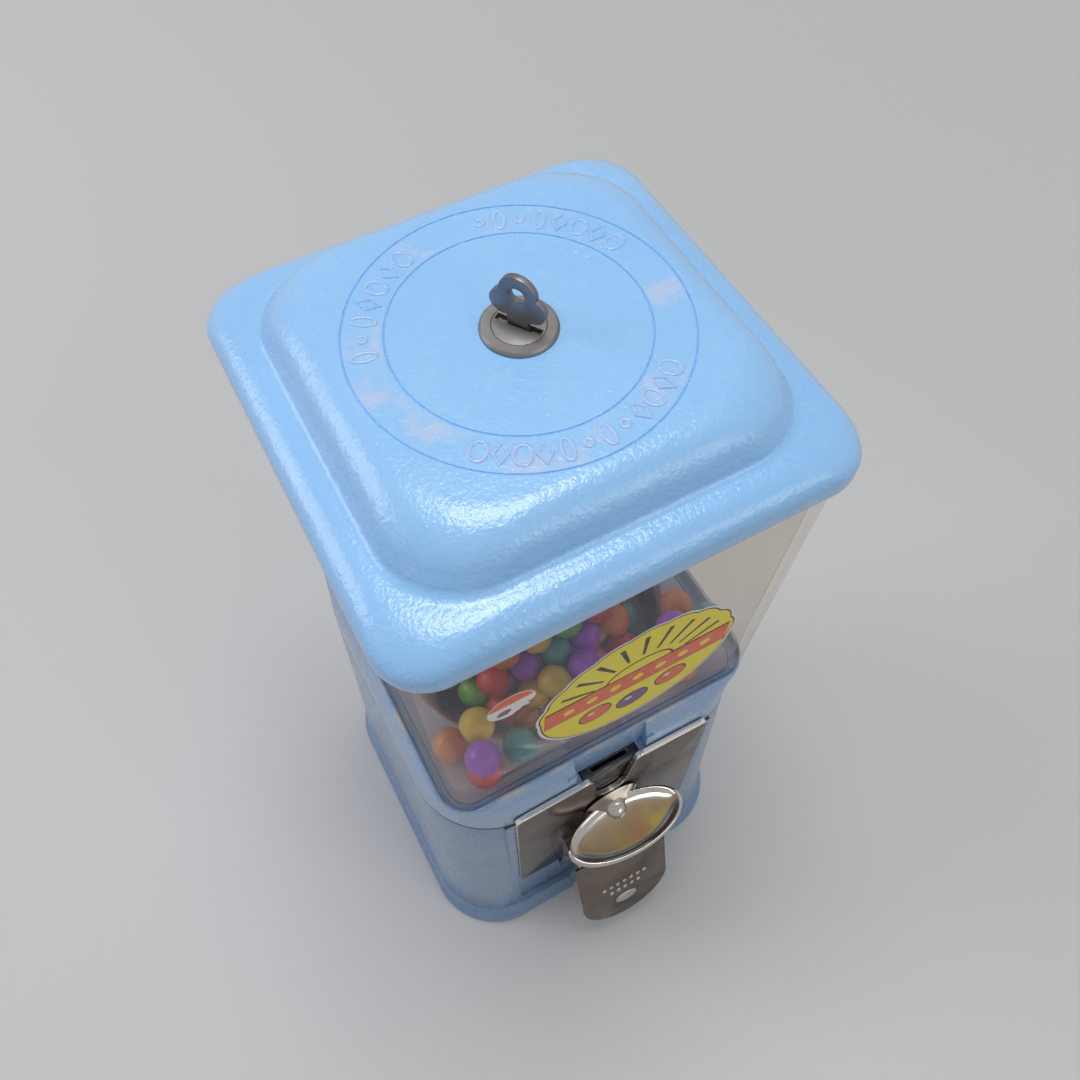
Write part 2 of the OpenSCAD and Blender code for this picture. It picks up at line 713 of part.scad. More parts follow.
// Sloped channel seen from the side, grown by t all round and past its mouth by m
module channel(t, m) {
    back = channel_back + t;
    mouth = wall_back + gap - m;
    fall = (channel_back - mouth)*tan(channel_fall);
    rise = t*tan(channel_fall);
    rotate([90, 0, 90]) translate([0, 0, -duct_r - t]) linear_extrude(2*(duct_r + t))
        polygon([[back, channel_back_z - t + rise], [back, channel_back_z + channel_h + t + rise],
                 [mouth, channel_back_z + channel_h + t - fall], [mouth, channel_back_z - t - fall]]);
}

module spout() color("Silver") difference() {
    union() {
        yslab(hinge_y - spout_blank, wall_back) u_shape(spout_r, hinge_z - 1);
        // Ears that carry the hinge pin
        for (x = [-spout_r, spout_r - ear_t]) translate([x, hinge_y, hinge_z])
            rotate([0, 90, 0]) cylinder(r = ear_r, h = ear_t);
    }
    difference() {
        yslab(hinge_y - spout_blank - 1, wall_back + 1)
            u_shape(spout_r - spout_wall, hinge_z - 1 - spout_wall);
        // Sloped floor that meets the chute
        spout_floor();
    }
    difference() {
        beyond_flap(flap_t + gap);
        for (x = [-spout_r - 1, spout_r - ear_t - 1]) translate([x, hinge_y, hinge_z])
            rotate([0, 90, 0]) cylinder(r = ear_r, h = ear_t + 2);
    }
    translate([ear_t - spout_r, hinge_y - 5, hinge_z - 4.5]) cube([2*(spout_r - ear_t), 10, 20]);
    translate([-spout_r - 1, hinge_y, hinge_z]) rotate([0, 90, 0])
        cylinder(r = pin_r, h = 2*spout_r + 2);
}

// Ramp from the chute's mouth down to the flap, seen from the side
module spout_floor() {
    step = 8;                           // drop from the mouth, and rise of the lip
    rotate([90, 0, 90]) translate([0, 0, -spout_r]) linear_extrude(2*spout_r)
        polygon([[wall_back + 1, flap_low], [wall_back + 1, mouth_z - step],
                 [hinge_y - 0.6*spout_lip, flap_low + step], [hinge_y - spout_lip, flap_low],
                 [hinge_y - spout_lip, flap_low - 1]]);
}

module flap_pin() color("DimGray") translate([-spout_r, hinge_y, hinge_z])
    rotate([0, 90, 0]) cylinder(r = pin_r, h = 2*spout_r);

module chute_flap() color("Silver") translate([0, hinge_y, hinge_z]) rotate([-flap_lean, 0, 0])
    difference() {
        union() {
            translate([0, -knuckle_r, 0]) yslab(0, flap_t) {
                translate([0, -flap_len + flap_r]) circle(flap_r);
                translate([-flap_r, -flap_len + flap_r]) square([2*flap_r, flap_len - flap_r - 6.5]);
                translate([-knuckle_half, -8]) square([2*knuckle_half, 8]);
            }
            translate([-knuckle_half, 0, 0]) rotate([0, 90, 0])
                cylinder(r = knuckle_r, h = 2*knuckle_half);
        }
        translate([-knuckle_half - 1, 0, 0]) rotate([0, 90, 0])
            cylinder(r = pin_r + run, h = 2*knuckle_half + 2);
    }

tray_t = 1.6;
tray_w = 100;
tray_h = 26;
tray_y = wall_back + 2.5;
tray = [tray_w, -boss_r - 4 - tray_y, tray_h];

module coin_tray() color("Gray") translate([-tray[0]/2, tray_y, floor_t]) difference() {
    cube(tray);
    translate([tray_t, tray_t, tray_t]) cube([tray[0] - 2*tray_t, tray[1] - 2*tray_t, tray[2]]);
}

// ---------------------------------------------------------------- gumballs

ball_pitch = ball_d + gap;
layer_h = ball_pitch*sqrt(2/3);
ball_low = guard_z + guard_t + ball_d/2 + gap;
pit_reach = pit_r - ball_d/2 - gap;
// Reach of each layer of balls, from the bottom up
layer_reach = [pit_reach, pit_reach - 4, pit_reach - 9, pit_reach - 21, pit_reach - 36];
// Balls left on the ledge: columns and rows from each corner, and how high they are stacked.
// One stands on its neighbour, and one leans between it and the pile.
ledge_at = globe_half - glass_t - ball_d/2 - 2*gap;
ledge_z = seat_z + ball_d/2 + gap;
ledge_spots = [[0.06, 1.1, 0], [0.58, 0.02, 0], [1.74, 0.18, 0], [0.58, 0.02, 1], [0.88, 0.96, 0.86]];
sugar = [[0.9, 0.8, 0.2], [0.8, 0.2, 0.2], [0.5, 0.2, 0.7], [0.9, 0.5, 0.2], [0.2, 0.6, 0.6], [0.9, 0.4, 0.6]];

module ball(p, n) {
    color(sugar[n%len(sugar)]) translate(p) sphere(r = ball_d/2);
}

module gumballs() {
    for (k = [0:len(layer_reach)-1], i = [-5:5], j = [-5:5]) {
        x = ball_pitch*(i + j/2 + (k%2)/2);
        y = ball_pitch*(j*sqrt(3)/2 + (k%2)/(2*sqrt(3)));
        r = norm([x, y]);
        if (r < layer_reach[k] && r > rod_r + ball_d/2 + gap)
            ball([x, y, ball_low + k*layer_h], i + 2*j + 3*k + 30);
    }
    for (q = [0:3], p = ledge_spots) rotate(90*q)
        ball([p[0]*ball_pitch - ledge_at, p[1]*ball_pitch - ledge_at, ledge_z + p[2]*ball_pitch],
             round(4*p[0]) + 2*q + round(3*p[2]));
}

// ---------------------------------------------------------------- lid and lock

lid_in_half = globe_top + 0.9;
lid_in_r = globe_r + 2 + fit;
flange_r = 12.5;                        // rounding of the lid's flange, across and up
flange_up = 10.6;
lid_edge = 7;                           // height of the lid's upright edge
step_z = lid_z + lid_edge + flange_up;  // where the raised middle starts
crown = lid_half - lid_step;            // half width of the raised middle
dome_r = 15.5;                          // rounding of its edge
dome_up = lid_top_z - step_z;
dome_corner = 30;                       // radius of the raised middle's upright corners
lid_line_w = 0.7;                       // turned lines on the top
lid_line_deep = 0.5;

module lid() color("LightSkyBlue") difference() {
    loft(concat(
        [[lid_half - 0.6, lid_in_r + 3, lid_z], [lid_half, lid_in_r + 4, lid_z + 1]],
        [for (a = [0:15:75]) [lid_half - flange_r*(1 - cos(a)), lid_in_r + 4 + a/8, lid_z + lid_edge + flange_up*sin(a)]],
        [[crown + 4, dome_corner - 1, step_z], [crown + 1.2, dome_corner, step_z + 1.5]],
        [for (a = [15:15:90]) [crown - dome_r*(1 - cos(a)), dome_corner + a/15, step_z + dome_up*sin(a)]]));
    block(lid_in_half, lid_in_r, lid_z - 1, lid_seat_z);
    // Hollow under the raised middle
    loft(concat(
        [[lid_in_half - 5.6, lid_in_r, lid_seat_z - eps], [lid_in_half - 6.6, lid_in_r + 2, lid_z + 11]],
        [for (a = [0:18:90]) [crown + 1.6 - lid_t - (dome_r + 1)*(1 - cos(a)), dome_corner - 2 + a/22.5,
                              step_z + 1 + (dome_up - 1 - lid_t)*sin(a)]]));
    zcyl(lock_stem_r + gap, lid_top_z - 2*lid_t, lid_top_z + 1);
    // Two turned lines on the top
    for (r = [crown - 2*dome_r + 1, crown - dome_r])
        translate([0, 0, lid_top_z - lid_line_deep]) difference() {
            zcyl(r + lid_line_w/2, 0, 1);
            zcyl(r - lid_line_w/2, -1, 2);
        }
}

module lid_gasket() color([0.1, 0.1, 0.1]) difference() {
    block(globe_top - 0.2, globe_r + 2, globe_top_z + gap, lid_seat_z);
    block(globe_top - glass_t - 1, globe_r - 2, globe_top_z, lid_seat_z + 1);
}

lock_stem_r = 10.5;
lock_depth = 15;                        // the case's reach under the lid's top
lock_low = lid_top_z - lock_depth;
plug_r = 9.4;
plug_face_t = 3.2;
plug_stem_r = 6.5;
nut_t = 4.6;
nut_r = 16;

module lock_case() color("Silver") difference() {
    union() {
        zcyl(lock_r, lid_top_z, lock_top_z - 0.8);
        translate([0, 0, lock_top_z - 0.8]) cylinder(r1 = lock_r, r2 = lock_r - 0.6, h = 0.8);
        zcyl(lock_stem_r, lock_low, lid_top_z + eps);
    }
    zcyl(plug_r + run, lock_top_z - plug_face_t, lock_top_z + 1);
    zcyl(plug_stem_r + run, lock_low - 1, lock_top_z);
}

module lock_nut() color("DimGray") translate([0, 0, lid_top_z - lid_t - nut_t]) difference() {
    cylinder(r = nut_r, h = nut_t, $fn = 6);
    translate([0, 0, -1]) cylinder(r = lock_stem_r, h = nut_t + 2);
}

slot_l = 17.4;                          // keyway in the plug's face
slot_w = 2.8;
slot_deep = 2.4;
blade_l = 14.8;                         // key's blade
blade_w = 8;
blade_t = 2;
bow_t = 2.4;                            // key's bow and its hole
bow_hole_r = 3;
bow_hole_z = 13.6;
cut_pitch = 3.2;                        // bitting along the blade
cut_w = 1.8;

module lock_plug() color("Silver") difference() {
    union() {
        zcyl(plug_r, lock_top_z - plug_face_t + run, lock_top_z - 0.1);
        zcyl(plug_stem_r, lock_low - 2, lock_top_z - 3);
        zcyl(stem_r, rod_top_z + 1.4, lock_low);
    }
    rotate(key_turn) {
        translate([-slot_l/2, -slot_w/2, lock_top_z - slot_deep]) cube([slot_l, slot_w, slot_deep + 1]);
        translate([-blade_w/2 - gap, -blade_t/2 - 0.2, lock_top_z - blade_l - 0.5])
            cube([blade_w + 2*gap, blade_t + 0.4, blade_l + 1]);
    }
}

// Key with a three-lobed bow
module key() color([0.25, 0.25, 0.3]) rotate(key_turn) translate([0, 0, lock_top_z]) difference() {
    lobe = bow_w/4;
    crown_lobe = bow_w/3;
    neck = blade_w - 1;
    union() {
        translate([-blade_w/2, -blade_t/2, -blade_l]) cube([blade_w, blade_t, blade_l + 5]);
        translate([0, bow_t/2, 0]) rotate([90, 0, 0]) linear_extrude(bow_t) {
            for (s = [-1, 1]) translate([s*(bow_w/2 - lobe), lobe + 3.6]) circle(lobe);
            translate([0, bow_hole_z + 0.6]) circle(crown_lobe);
            translate([-neck/2, 1.2]) square([neck, 8]);
            translate([lobe - bow_w/2, 5]) square([bow_w - 2*lobe, 8]);
        }
    }
    translate([0, 5, bow_hole_z]) rotate([90, 0, 0]) cylinder(r = bow_hole_r, h = 10);
    // Bitting, in two depths
    for (i = [0:3]) translate([blade_w/2 - 1.2 - (i%2)*0.7, -5, -blade_l + 2 + cut_pitch*i])
        cube([3, 10, cut_w]);
}

// ---------------------------------------------------------------- assembly

base_plate();
base_screws();
lower_housing();
collar();
hopper();
wheel_floor();
floor_screws();
wheel_clip();
ball_guard();
globe();
centre_rod();
rod_socket();
front_plate();
mech_frame();
mech_nuts();
coin_guide();
chute();
spout();
flap_pin();
coin_tray();
gumballs();
lid();
lid_gasket();
lock_case();
lock_nut();
lock_plug();
key();
handle();
handle_shaft();
coin_wheel();
ratchet();
pinion();
ball_wheel();
pawl();
chute_flap();
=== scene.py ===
"""Looks of a countertop gumball machine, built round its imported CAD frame.

Lengths are written in millimetres and turned into metres by mm(). The front faces -Y.
"""

import math
import random
from contextlib import contextmanager

import bmesh
import bpy
from mathutils import Matrix, Vector, noise

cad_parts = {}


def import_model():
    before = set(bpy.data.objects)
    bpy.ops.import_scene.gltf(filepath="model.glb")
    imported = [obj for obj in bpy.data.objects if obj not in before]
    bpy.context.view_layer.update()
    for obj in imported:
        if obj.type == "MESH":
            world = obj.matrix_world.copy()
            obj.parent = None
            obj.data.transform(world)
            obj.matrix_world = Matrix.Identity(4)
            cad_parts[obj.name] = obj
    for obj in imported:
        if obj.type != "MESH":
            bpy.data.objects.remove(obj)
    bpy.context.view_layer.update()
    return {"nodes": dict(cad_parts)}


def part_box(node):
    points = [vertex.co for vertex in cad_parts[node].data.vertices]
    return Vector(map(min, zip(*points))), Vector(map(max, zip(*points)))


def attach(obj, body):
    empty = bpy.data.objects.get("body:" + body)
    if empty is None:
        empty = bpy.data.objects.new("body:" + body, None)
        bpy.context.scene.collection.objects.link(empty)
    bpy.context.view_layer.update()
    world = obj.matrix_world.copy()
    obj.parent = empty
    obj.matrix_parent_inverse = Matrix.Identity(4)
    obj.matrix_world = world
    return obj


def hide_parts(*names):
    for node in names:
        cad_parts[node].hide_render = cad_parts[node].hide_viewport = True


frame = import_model()

# ------------------------------------------------------------------ sizes


def mm(value):
    return value * 0.001


def low(node):
    """Lowest corner of a node's box."""
    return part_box(node)[0] * 1000


def high(node):
    """Highest corner of a node's box."""
    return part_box(node)[1] * 1000


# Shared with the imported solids
WALL = 4.5            # of the housing
BODY_R = 40           # corners of the housing
COLLAR_LEAN = 4.7     # the collar draws in this far towards its top
COLLAR_RIM = 2.1      # the collar's edge outside the globe
RIM_R = 18            # corners of that edge
GLASS_T = 4
GLOBE_R = 13          # corners of the globe's foot
LOCK_STEM_R = 10.5
PLATE_T = 3
PLATE_H = 124
PLATE_R = 4
PLATE_BOSS = 0.4      # the shaft's boss stands this far off the plate
SPOUT_R = 27
SPOUT_MID_Z = 51
PIN_R = 1.5           # the flap's hinge pin
SHAFT_R = 5
ROD_R = 4
RUN = 0.06            # clearance round a shaft or rod
BALL_R = 8.5
PIT_R = 68
SCREW_INSET = 18      # base screws, in from the housing's foot
STAND_HALF = 60       # half the spacing of the stand's bolts

# Read from the frame
BASE_Z = low("lower_housing").z
SEAM_Z = high("lower_housing").z
COLLAR_Z = high("collar").z
SEAT_Z = low("globe").z
GLOBE_TOP = high("globe").z
LID_Z = low("lid").z
LID_TOP = high("lid").z
FOOT_HALF = high("base_plate").x
BODY_LOW_HALF = high("lower_housing").x
BODY_HALF = high("collar").x
COLLAR_HALF = BODY_HALF - COLLAR_LEAN
GLOBE_HALF = COLLAR_HALF - COLLAR_RIM
GLOBE_TOP_HALF = high("lid_gasket").x + 0.2     # the gasket stops just inside the glass's edge
LID_HALF = high("lid").x
PLATE_HALF = high("front_plate").x
PLATE_LOW = low("front_plate").z
PLATE_TOP = PLATE_LOW + PLATE_H
PLATE_FRONT = low("front_plate").y + PLATE_BOSS
PANEL_Y = PLATE_FRONT + PLATE_T
STUD_END = high("front_plate").y
SHAFT_Z = (low("coin_wheel").z + high("coin_wheel").z) / 2
HANDLE_FRONT = low("handle").y
WING_HALF = high("handle").x
GUIDE_TOP = high("coin_guide").z
HINGE = Vector((0, (low("flap_pin").y + high("flap_pin").y) / 2, high("flap_pin").z - PIN_R))

# Only in this scene
PLATE_SIDE = PLATE_HALF + 0.25     # sides of the recess that the plate lies in
FACE_Y = PLATE_FRONT + 1.5         # the housing's face, behind the plate's front
FAR = 120                          # past the castings on every side, for cutters
INSIDE_Y = -70                     # behind the front walls, for cutters
CORNER_STEPS = 20                  # sides of each rounded corner


def body_half(z):
    """Half width of the drafted housing at a height."""
    return BODY_LOW_HALF + (BODY_HALF - BODY_LOW_HALF) * (z - BASE_Z) / (SEAM_Z - BASE_Z)


def glass_half(z):
    """Half width of the globe's outside at a height."""
    return GLOBE_HALF + (GLOBE_TOP_HALF - GLOBE_HALF) * (z - SEAT_Z) / (GLOBE_TOP - SEAT_Z)


# ------------------------------------------------------------------ mesh helpers


@contextmanager
def editing(mesh):
    """A mesh opened for editing, and written back at the end."""
    bm = bmesh.new()
    bm.from_mesh(mesh)
    yield bm
    bm.to_mesh(mesh)
    bm.free()


def piece_from(mesh, name):
    obj = bpy.data.objects.new(name, mesh)
    bpy.context.scene.collection.objects.link(obj)
    return obj


def object_from(name, points, faces):
    """A mesh object from points in millimetres."""
    mesh = bpy.data.meshes.new(name)
    mesh.from_pydata([[mm(c) for c in p] for p in points], [], faces)
    mesh.validate()
    with editing(mesh) as bm:
        bmesh.ops.recalc_face_normals(bm, faces=bm.faces)
    return piece_from(mesh, name)


def apply_modifiers(obj):
    graph = bpy.context.evaluated_depsgraph_get()
    mesh = bpy.data.meshes.new_from_object(obj.evaluated_get(graph))
    old = obj.data
    obj.modifiers.clear()
    obj.data = mesh
    bpy.data.meshes.remove(old)


def boolean(obj, operation, tools):
    for tool in tools:
        modifier = obj.modifiers.new("cut", "BOOLEAN")
        modifier.operation = operation
        modifier.solver = "EXACT"
        modifier.object = tool
    apply_modifiers(obj)
    for tool in tools:
        bpy.data.objects.remove(tool)


def cut(obj, *tools):
    boolean(obj, "DIFFERENCE", tools)


def join(obj, *tools):
    boolean(obj, "UNION", tools)


def bevel(obj, width, segments, angle=35):
    modifier = obj.modifiers.new("edge", "BEVEL")
    modifier.width = mm(width)
    modifier.segments = segments
    modifier.limit_method = "ANGLE"
    modifier.angle_limit = math.radians(angle)
    modifier.use_clamp_overlap = True
    apply_modifiers(obj)


def weld(obj):
    """Welds a triangulated mesh and merges its flat faces."""
    with editing(obj.data) as bm:
        bmesh.ops.remove_doubles(bm, verts=bm.verts, dist=mm(0.01))
        bmesh.ops.dissolve_limit(bm, angle_limit=math.radians(0.5), verts=bm.verts, edges=bm.edges)
        bmesh.ops.recalc_face_normals(bm, faces=bm.faces)


def square_ring(half, r, z, steps=CORNER_STEPS):
    """A rounded square, counter-clockwise from +X."""
    ring = []
    for quarter, (sx, sy) in enumerate([(1, 1), (-1, 1), (-1, -1), (1, -1)]):
        for i in range(steps + 1):
            a = math.radians(90 * (quarter + i / steps))
            ring.append((sx * (half - r) + r * math.cos(a), sy * (half - r) + r * math.sin(a), z))
    return ring


def flow(rows, steps=3):
    """More rows along a smooth curve through the given ones."""
    out = []
    for i in range(len(rows) - 1):
        before, a = rows[max(i - 1, 0)], rows[i]
        b, after = rows[i + 1], rows[min(i + 2, len(rows) - 1)]
        for k in range(steps):
            t = k / steps
            out.append([
                0.5 * (2 * q + (r - p) * t + (2 * p - 5 * q + 4 * r - s) * t * t
                       + (3 * q - p - 3 * r + s) * t ** 3)
                for p, q, r, s in zip(before, a, b, after)
            ])
    out.append(list(rows[-1]))
    return out


def band(first, rows, width, around=False):
    """Faces between rows of points, each row a ring, from the index of the first point."""
    faces = []
    for j in range(rows if around else rows - 1):
        here, there = first + j * width, first + (j + 1) % rows * width
        faces += [(here + i, here + (i + 1) % width, there + (i + 1) % width, there + i)
                  for i in range(width)]
    return faces


def cap(first, width):
    """One face over a ring of points."""
    return tuple(range(first, first + width))


def skin(name, rings, closed=True):
    """A surface through rings of points, closed by its first and last ring or joined end to end."""
    n, rows = len(rings[0]), len(rings)
    faces = band(0, rows, n, around=not closed)
    if closed:
        faces += [cap(0, n), cap((rows - 1) * n, n)]
    return object_from(name, [p for ring in rings for p in ring], faces)


def square_loft(name, rows):
    """A solid through rounded squares: half width, corner radius and height of each."""
    return skin(name, [square_ring(*row) for row in rows])


def square_shell(name, outside, inside, steps=CORNER_STEPS):
    """Walls between an outer and an inner stack of rows, open above and below."""
    rows = list(outside) + list(reversed(inside))
    return skin(name, [square_ring(*row, steps) for row in rows], closed=False)


def cube(x0, y0, z0, x1, y1, z1):
    points = [(x, y, z) for x in (x0, x1) for y in (y0, y1) for z in (z0, z1)]
    faces = [(0, 1, 3, 2), (4, 6, 7, 5), (0, 4, 5, 1), (2, 3, 7, 6), (0, 2, 6, 4), (1, 5, 7, 3)]
    return object_from("tool", points, faces)


def circle_points(r, steps):
    turns = [2 * math.pi * i / steps for i in range(steps)]
    return [(r * math.cos(a), r * math.sin(a)) for a in turns]


def oval(cx, cz, rx, rz, steps, a0=0, a1=360):
    """Points round an ellipse, or along the part of it between two angles."""
    count = steps if a1 - a0 == 360 else steps + 1
    turns = [math.radians(a0 + (a1 - a0) * i / steps) for i in range(count)]
    return [(cx + rx * math.cos(a), cz + rz * math.sin(a)) for a in turns]


def arc(cx, cz, r, a0, a1, steps):
    return oval(cx, cz, r, r, steps, a0, a1)


def revolve(name, profile, steps=96, place=Matrix.Identity(4), closed=True):
    """A solid turned about Z from (radius, height) points, then placed."""
    rings = [[(x, y, z) for x, y in circle_points(max(r, 0.001), steps)] for r, z in profile]
    obj = skin(name, rings, closed)
    with editing(obj.data) as bm:
        bmesh.ops.remove_doubles(bm, verts=bm.verts, dist=mm(0.02))
    move = Matrix.LocRotScale(mm(place.to_translation()), place.to_quaternion(), None)
    obj.data.transform(move)
    return obj


def rod(r, start, end, steps=48):
    """A cylinder between two points."""
    start, end = Vector(start), Vector(end)
    along = end - start
    place = Matrix.Translation(start) @ along.to_track_quat("Z", "Y").to_matrix().to_4x4()
    return revolve("tool", [(r, 0), (r, along.length)], steps, place)


def slab(name, outline, y0, y1):
    """An outline drawn in X and Z, extruded along Y."""
    n = len(outline)
    points = [(x, y, z) for y in (y0, y1) for x, z in outline]
    return object_from(name, points, [cap(0, n), cap(n, n)] + band(0, 2, n))


def corners(reach):
    """The four corners of a square round the axis."""
    return [(sx * reach, sy * reach) for sx in (-1, 1) for sy in (-1, 1)]


def finished(obj, body, material, replaces=(), angle=32):
    """Gives a piece its body and material, and hides the nodes it stands for."""
    obj.data.shade_smooth()
    obj.data.set_sharp_from_angle(angle=math.radians(angle))
    obj.data.materials.clear()
    obj.data.materials.append(material)
    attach(obj, body)
    if replaces:
        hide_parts(*replaces)


def refined(node, name, body, material, width):
    """A CAD node's own shape with its edges broken."""
    obj = piece_from(frame["nodes"][node].data.copy(), name)
    weld(obj)
    bevel(obj, width, 2)
    finished(obj, body, material, [node])


# ------------------------------------------------------------------ materials


class Nodes:
    """Short ways to wire a material."""

    def __init__(self, name):
        self.material = bpy.data.materials.new(name)
        self.material.use_nodes = True
        self.tree = self.material.node_tree
        self.tree.nodes.clear()
        self.out = self.tree.nodes.new("ShaderNodeOutputMaterial")
        self.place = self.tree.nodes.new("ShaderNodeTexCoord").outputs["Object"]

    def put(self, socket, value):
        if isinstance(value, bpy.types.NodeSocket):
            self.tree.links.new(value, socket)
        elif isinstance(value, (tuple, list)) and len(value) == 3 and socket.type == "RGBA":
            socket.default_value = (*value, 1)
        else:
            socket.default_value = value

    def shader(self, kind, **sockets):
        node = self.tree.nodes.new(kind)
        for name, value in sockets.items():
            self.put(node.inputs[name.replace("_", " ")], value)
        return node.outputs[0]

    def surface(self, **sockets):
        self.show(self.shader("ShaderNodeBsdfPrincipled", **sockets))

    def show(self, shader):
        self.tree.links.new(shader, self.out.inputs["Surface"])

    def blend(self, amount, first, second):
        """A mix of two shaders."""
        node = self.tree.nodes.new("ShaderNodeMixShader")
        self.put(node.inputs[0], amount)
        self.tree.links.new(first, node.inputs[1])
        self.tree.links.new(second, node.inputs[2])
        return node.outputs[0]

    def noise(self, scale, detail=3, rough=0.5, where=None, distort=0.0):
        node = self.tree.nodes.new("ShaderNodeTexNoise")
        self.put(node.inputs["Vector"], where or self.place)
        node.inputs["Scale"].default_value = scale
        node.inputs["Detail"].default_value = detail
        node.inputs["Roughness"].default_value = rough
        node.inputs["Distortion"].default_value = distort
        return node.outputs["Fac"]

    def cells(self, scale):
        node = self.tree.nodes.new("ShaderNodeTexVoronoi")
        self.put(node.inputs["Vector"], self.place)
        node.inputs["Scale"].default_value = scale
        return node.outputs["Distance"]

    def stretch(self, factors):
        node = self.tree.nodes.new("ShaderNodeMapping")
        self.put(node.inputs["Vector"], self.place)
        node.inputs["Scale"].default_value = factors
        return node.outputs[0]

    def ramp(self, value, low_at, high_at, start=0.0, end=1.0):
        node = self.tree.nodes.new("ShaderNodeMapRange")
        self.put(node.inputs["Value"], value)
        for name, number in zip(("From Min", "From Max", "To Min", "To Max"),
                                (low_at, high_at, start, end)):
            node.inputs[name].default_value = number
        return node.outputs[0]

    def math(self, kind, a, b=0.0):
        node = self.tree.nodes.new("ShaderNodeMath")
        node.operation = kind
        self.put(node.inputs[0], a)
        self.put(node.inputs[1], b)
        return node.outputs[0]

    def times(self, a, b):
        return self.math("MULTIPLY", a, b)

    def plus(self, a, b):
        return self.math("ADD", a, b)

    def mix(self, amount, a, b):
        """A mix of two colours."""
        node = self.tree.nodes.new("ShaderNodeMix")
        node.data_type = "RGBA"
        self.put(node.inputs[0], amount)
        self.put(node.inputs[6], a)
        self.put(node.inputs[7], b)
        return node.outputs[2]

    def axis(self, name):
        node = self.tree.nodes.new("ShaderNodeSeparateXYZ")
        self.put(node.inputs[0], self.place)
        return node.outputs[name]

    def from_axis(self):
        """Distance from the machine's upright axis."""
        x, y = self.math("POWER", self.axis("X"), 2.0), self.math("POWER", self.axis("Y"), 2.0)
        return self.math("SQRT", self.plus(x, y))

    def distance(self, point):
        node = self.tree.nodes.new("ShaderNodeVectorMath")
        node.operation = "DISTANCE"
        self.put(node.inputs[0], self.place)
        node.inputs[1].default_value = [mm(c) for c in point]
        return node.outputs["Value"]

    def glance(self, blend):
        """Rises from 0, seen square on, to 1 at the edge of sight."""
        node = self.tree.nodes.new("ShaderNodeLayerWeight")
        node.inputs["Blend"].default_value = blend
        return node.outputs["Facing"]

    def bump(self, height, depth, strength):
        node = self.tree.nodes.new("ShaderNodeBump")
        node.inputs["Strength"].default_value = strength
        node.inputs["Distance"].default_value = mm(depth)
        self.put(node.inputs["Height"], height)
        return node.outputs[0]


PRIMER = (0.80, 0.80, 0.80)
BARE_METAL = (0.62, 0.56, 0.52)
SEAM_SHADOW = (0.012, 0.014, 0.018)
WORN_LILAC = (0.56, 0.62, 0.80)
PALE_MOTTLE = (0.60, 0.76, 0.92)


def paint(name, colour, dark, chips, worn=None, seams=(), rim=None):
    """Gloss enamel with a coarse grain, faint clouding and tiny chips.

    worn is the inner and outer radius of a ring on the lid that has been rubbed pale,
    seams are the heights of joints along which a near-black line of painted shadow is drawn,
    and rim is the height of an edge that is rubbed through.
    """
    m = Nodes(name)
    cloud = m.ramp(m.noise(11, 5, 0.6), 0.32, 0.68)
    base = m.mix(cloud, dark, colour)
    mottle = m.ramp(m.noise(170, 3, 0.65), 0.52, 0.78, 0.0, 0.13)
    base = m.mix(mottle, base, PALE_MOTTLE)
    if worn:
        r, fade = m.from_axis(), 1.5
        inside = m.times(m.ramp(r, mm(worn[0]), mm(worn[0] + fade)),
                         m.ramp(r, mm(worn[1]), mm(worn[1] - fade)))
        rubbed = m.times(inside, m.ramp(m.noise(45, 5, 0.6), 0.50, 0.60, 0.0, 0.62))
        base = m.mix(rubbed, base, WORN_LILAC)
    flake = m.times(m.ramp(m.noise(520, 3, 0.6), 0.66, 0.70), m.ramp(m.noise(26, 3), 0.56, 0.66))
    base = m.mix(m.times(flake, chips), base, PRIMER)
    # Painted shadow: a near-black line along each seam, where the gap between the castings falls in
    # shade
    for z in seams:
        off = m.math("ABSOLUTE", m.math("SUBTRACT", m.axis("Z"), mm(z - 0.6)))
        base = m.mix(m.ramp(off, mm(1.0), mm(0.55), 0.0, 0.92), base, SEAM_SHADOW)
    if rim:
        edge = m.times(m.ramp(m.axis("Z"), mm(rim - 2.2), mm(rim - 0.6)),
                       m.ramp(m.noise(38, 5, 0.6), 0.50, 0.60))
        base = m.mix(m.times(edge, 0.8), base, BARE_METAL)
    grain = m.plus(m.noise(620, 2, 0.55), m.times(m.noise(230, 2), 0.9))
    relief = m.bump(grain, 0.26, 0.9)
    rough = m.ramp(m.noise(60, 4, 0.6), 0.3, 0.7, 0.22, 0.36)
    m.surface(Base_Color=base, Roughness=rough, Normal=relief, Coat_Normal=relief,
              Coat_Weight=0.5, Coat_Roughness=0.12, Specular_IOR_Level=0.5)
    return m.material


def chrome(name, colour, patina, centre=None, reach=60, level=0.75, rough=(0.08, 0.34)):
    """Old plating, brown where the patina has come through, most of all round a centre."""
    m = Nodes(name)
    patch = m.ramp(m.noise(26, 6, 0.62, distort=0.6), 0.42, 0.68)
    if centre:
        near = m.ramp(m.distance(centre), 0, mm(reach), 1.3, 0)
        patch = m.times(m.plus(near, patch), 0.6)
    amount = m.times(patch, level)
    scratch = m.noise(60, 3, 0.6, m.stretch((1, 1, 14)))
    m.surface(Base_Color=m.mix(amount, colour, patina), Metallic=1.0,
              Roughness=m.ramp(m.plus(amount, m.times(scratch, 0.3)), 0, 1.2, *rough),
              Normal=m.bump(m.noise(420, 3), 0.03, 0.35))
    return m.material


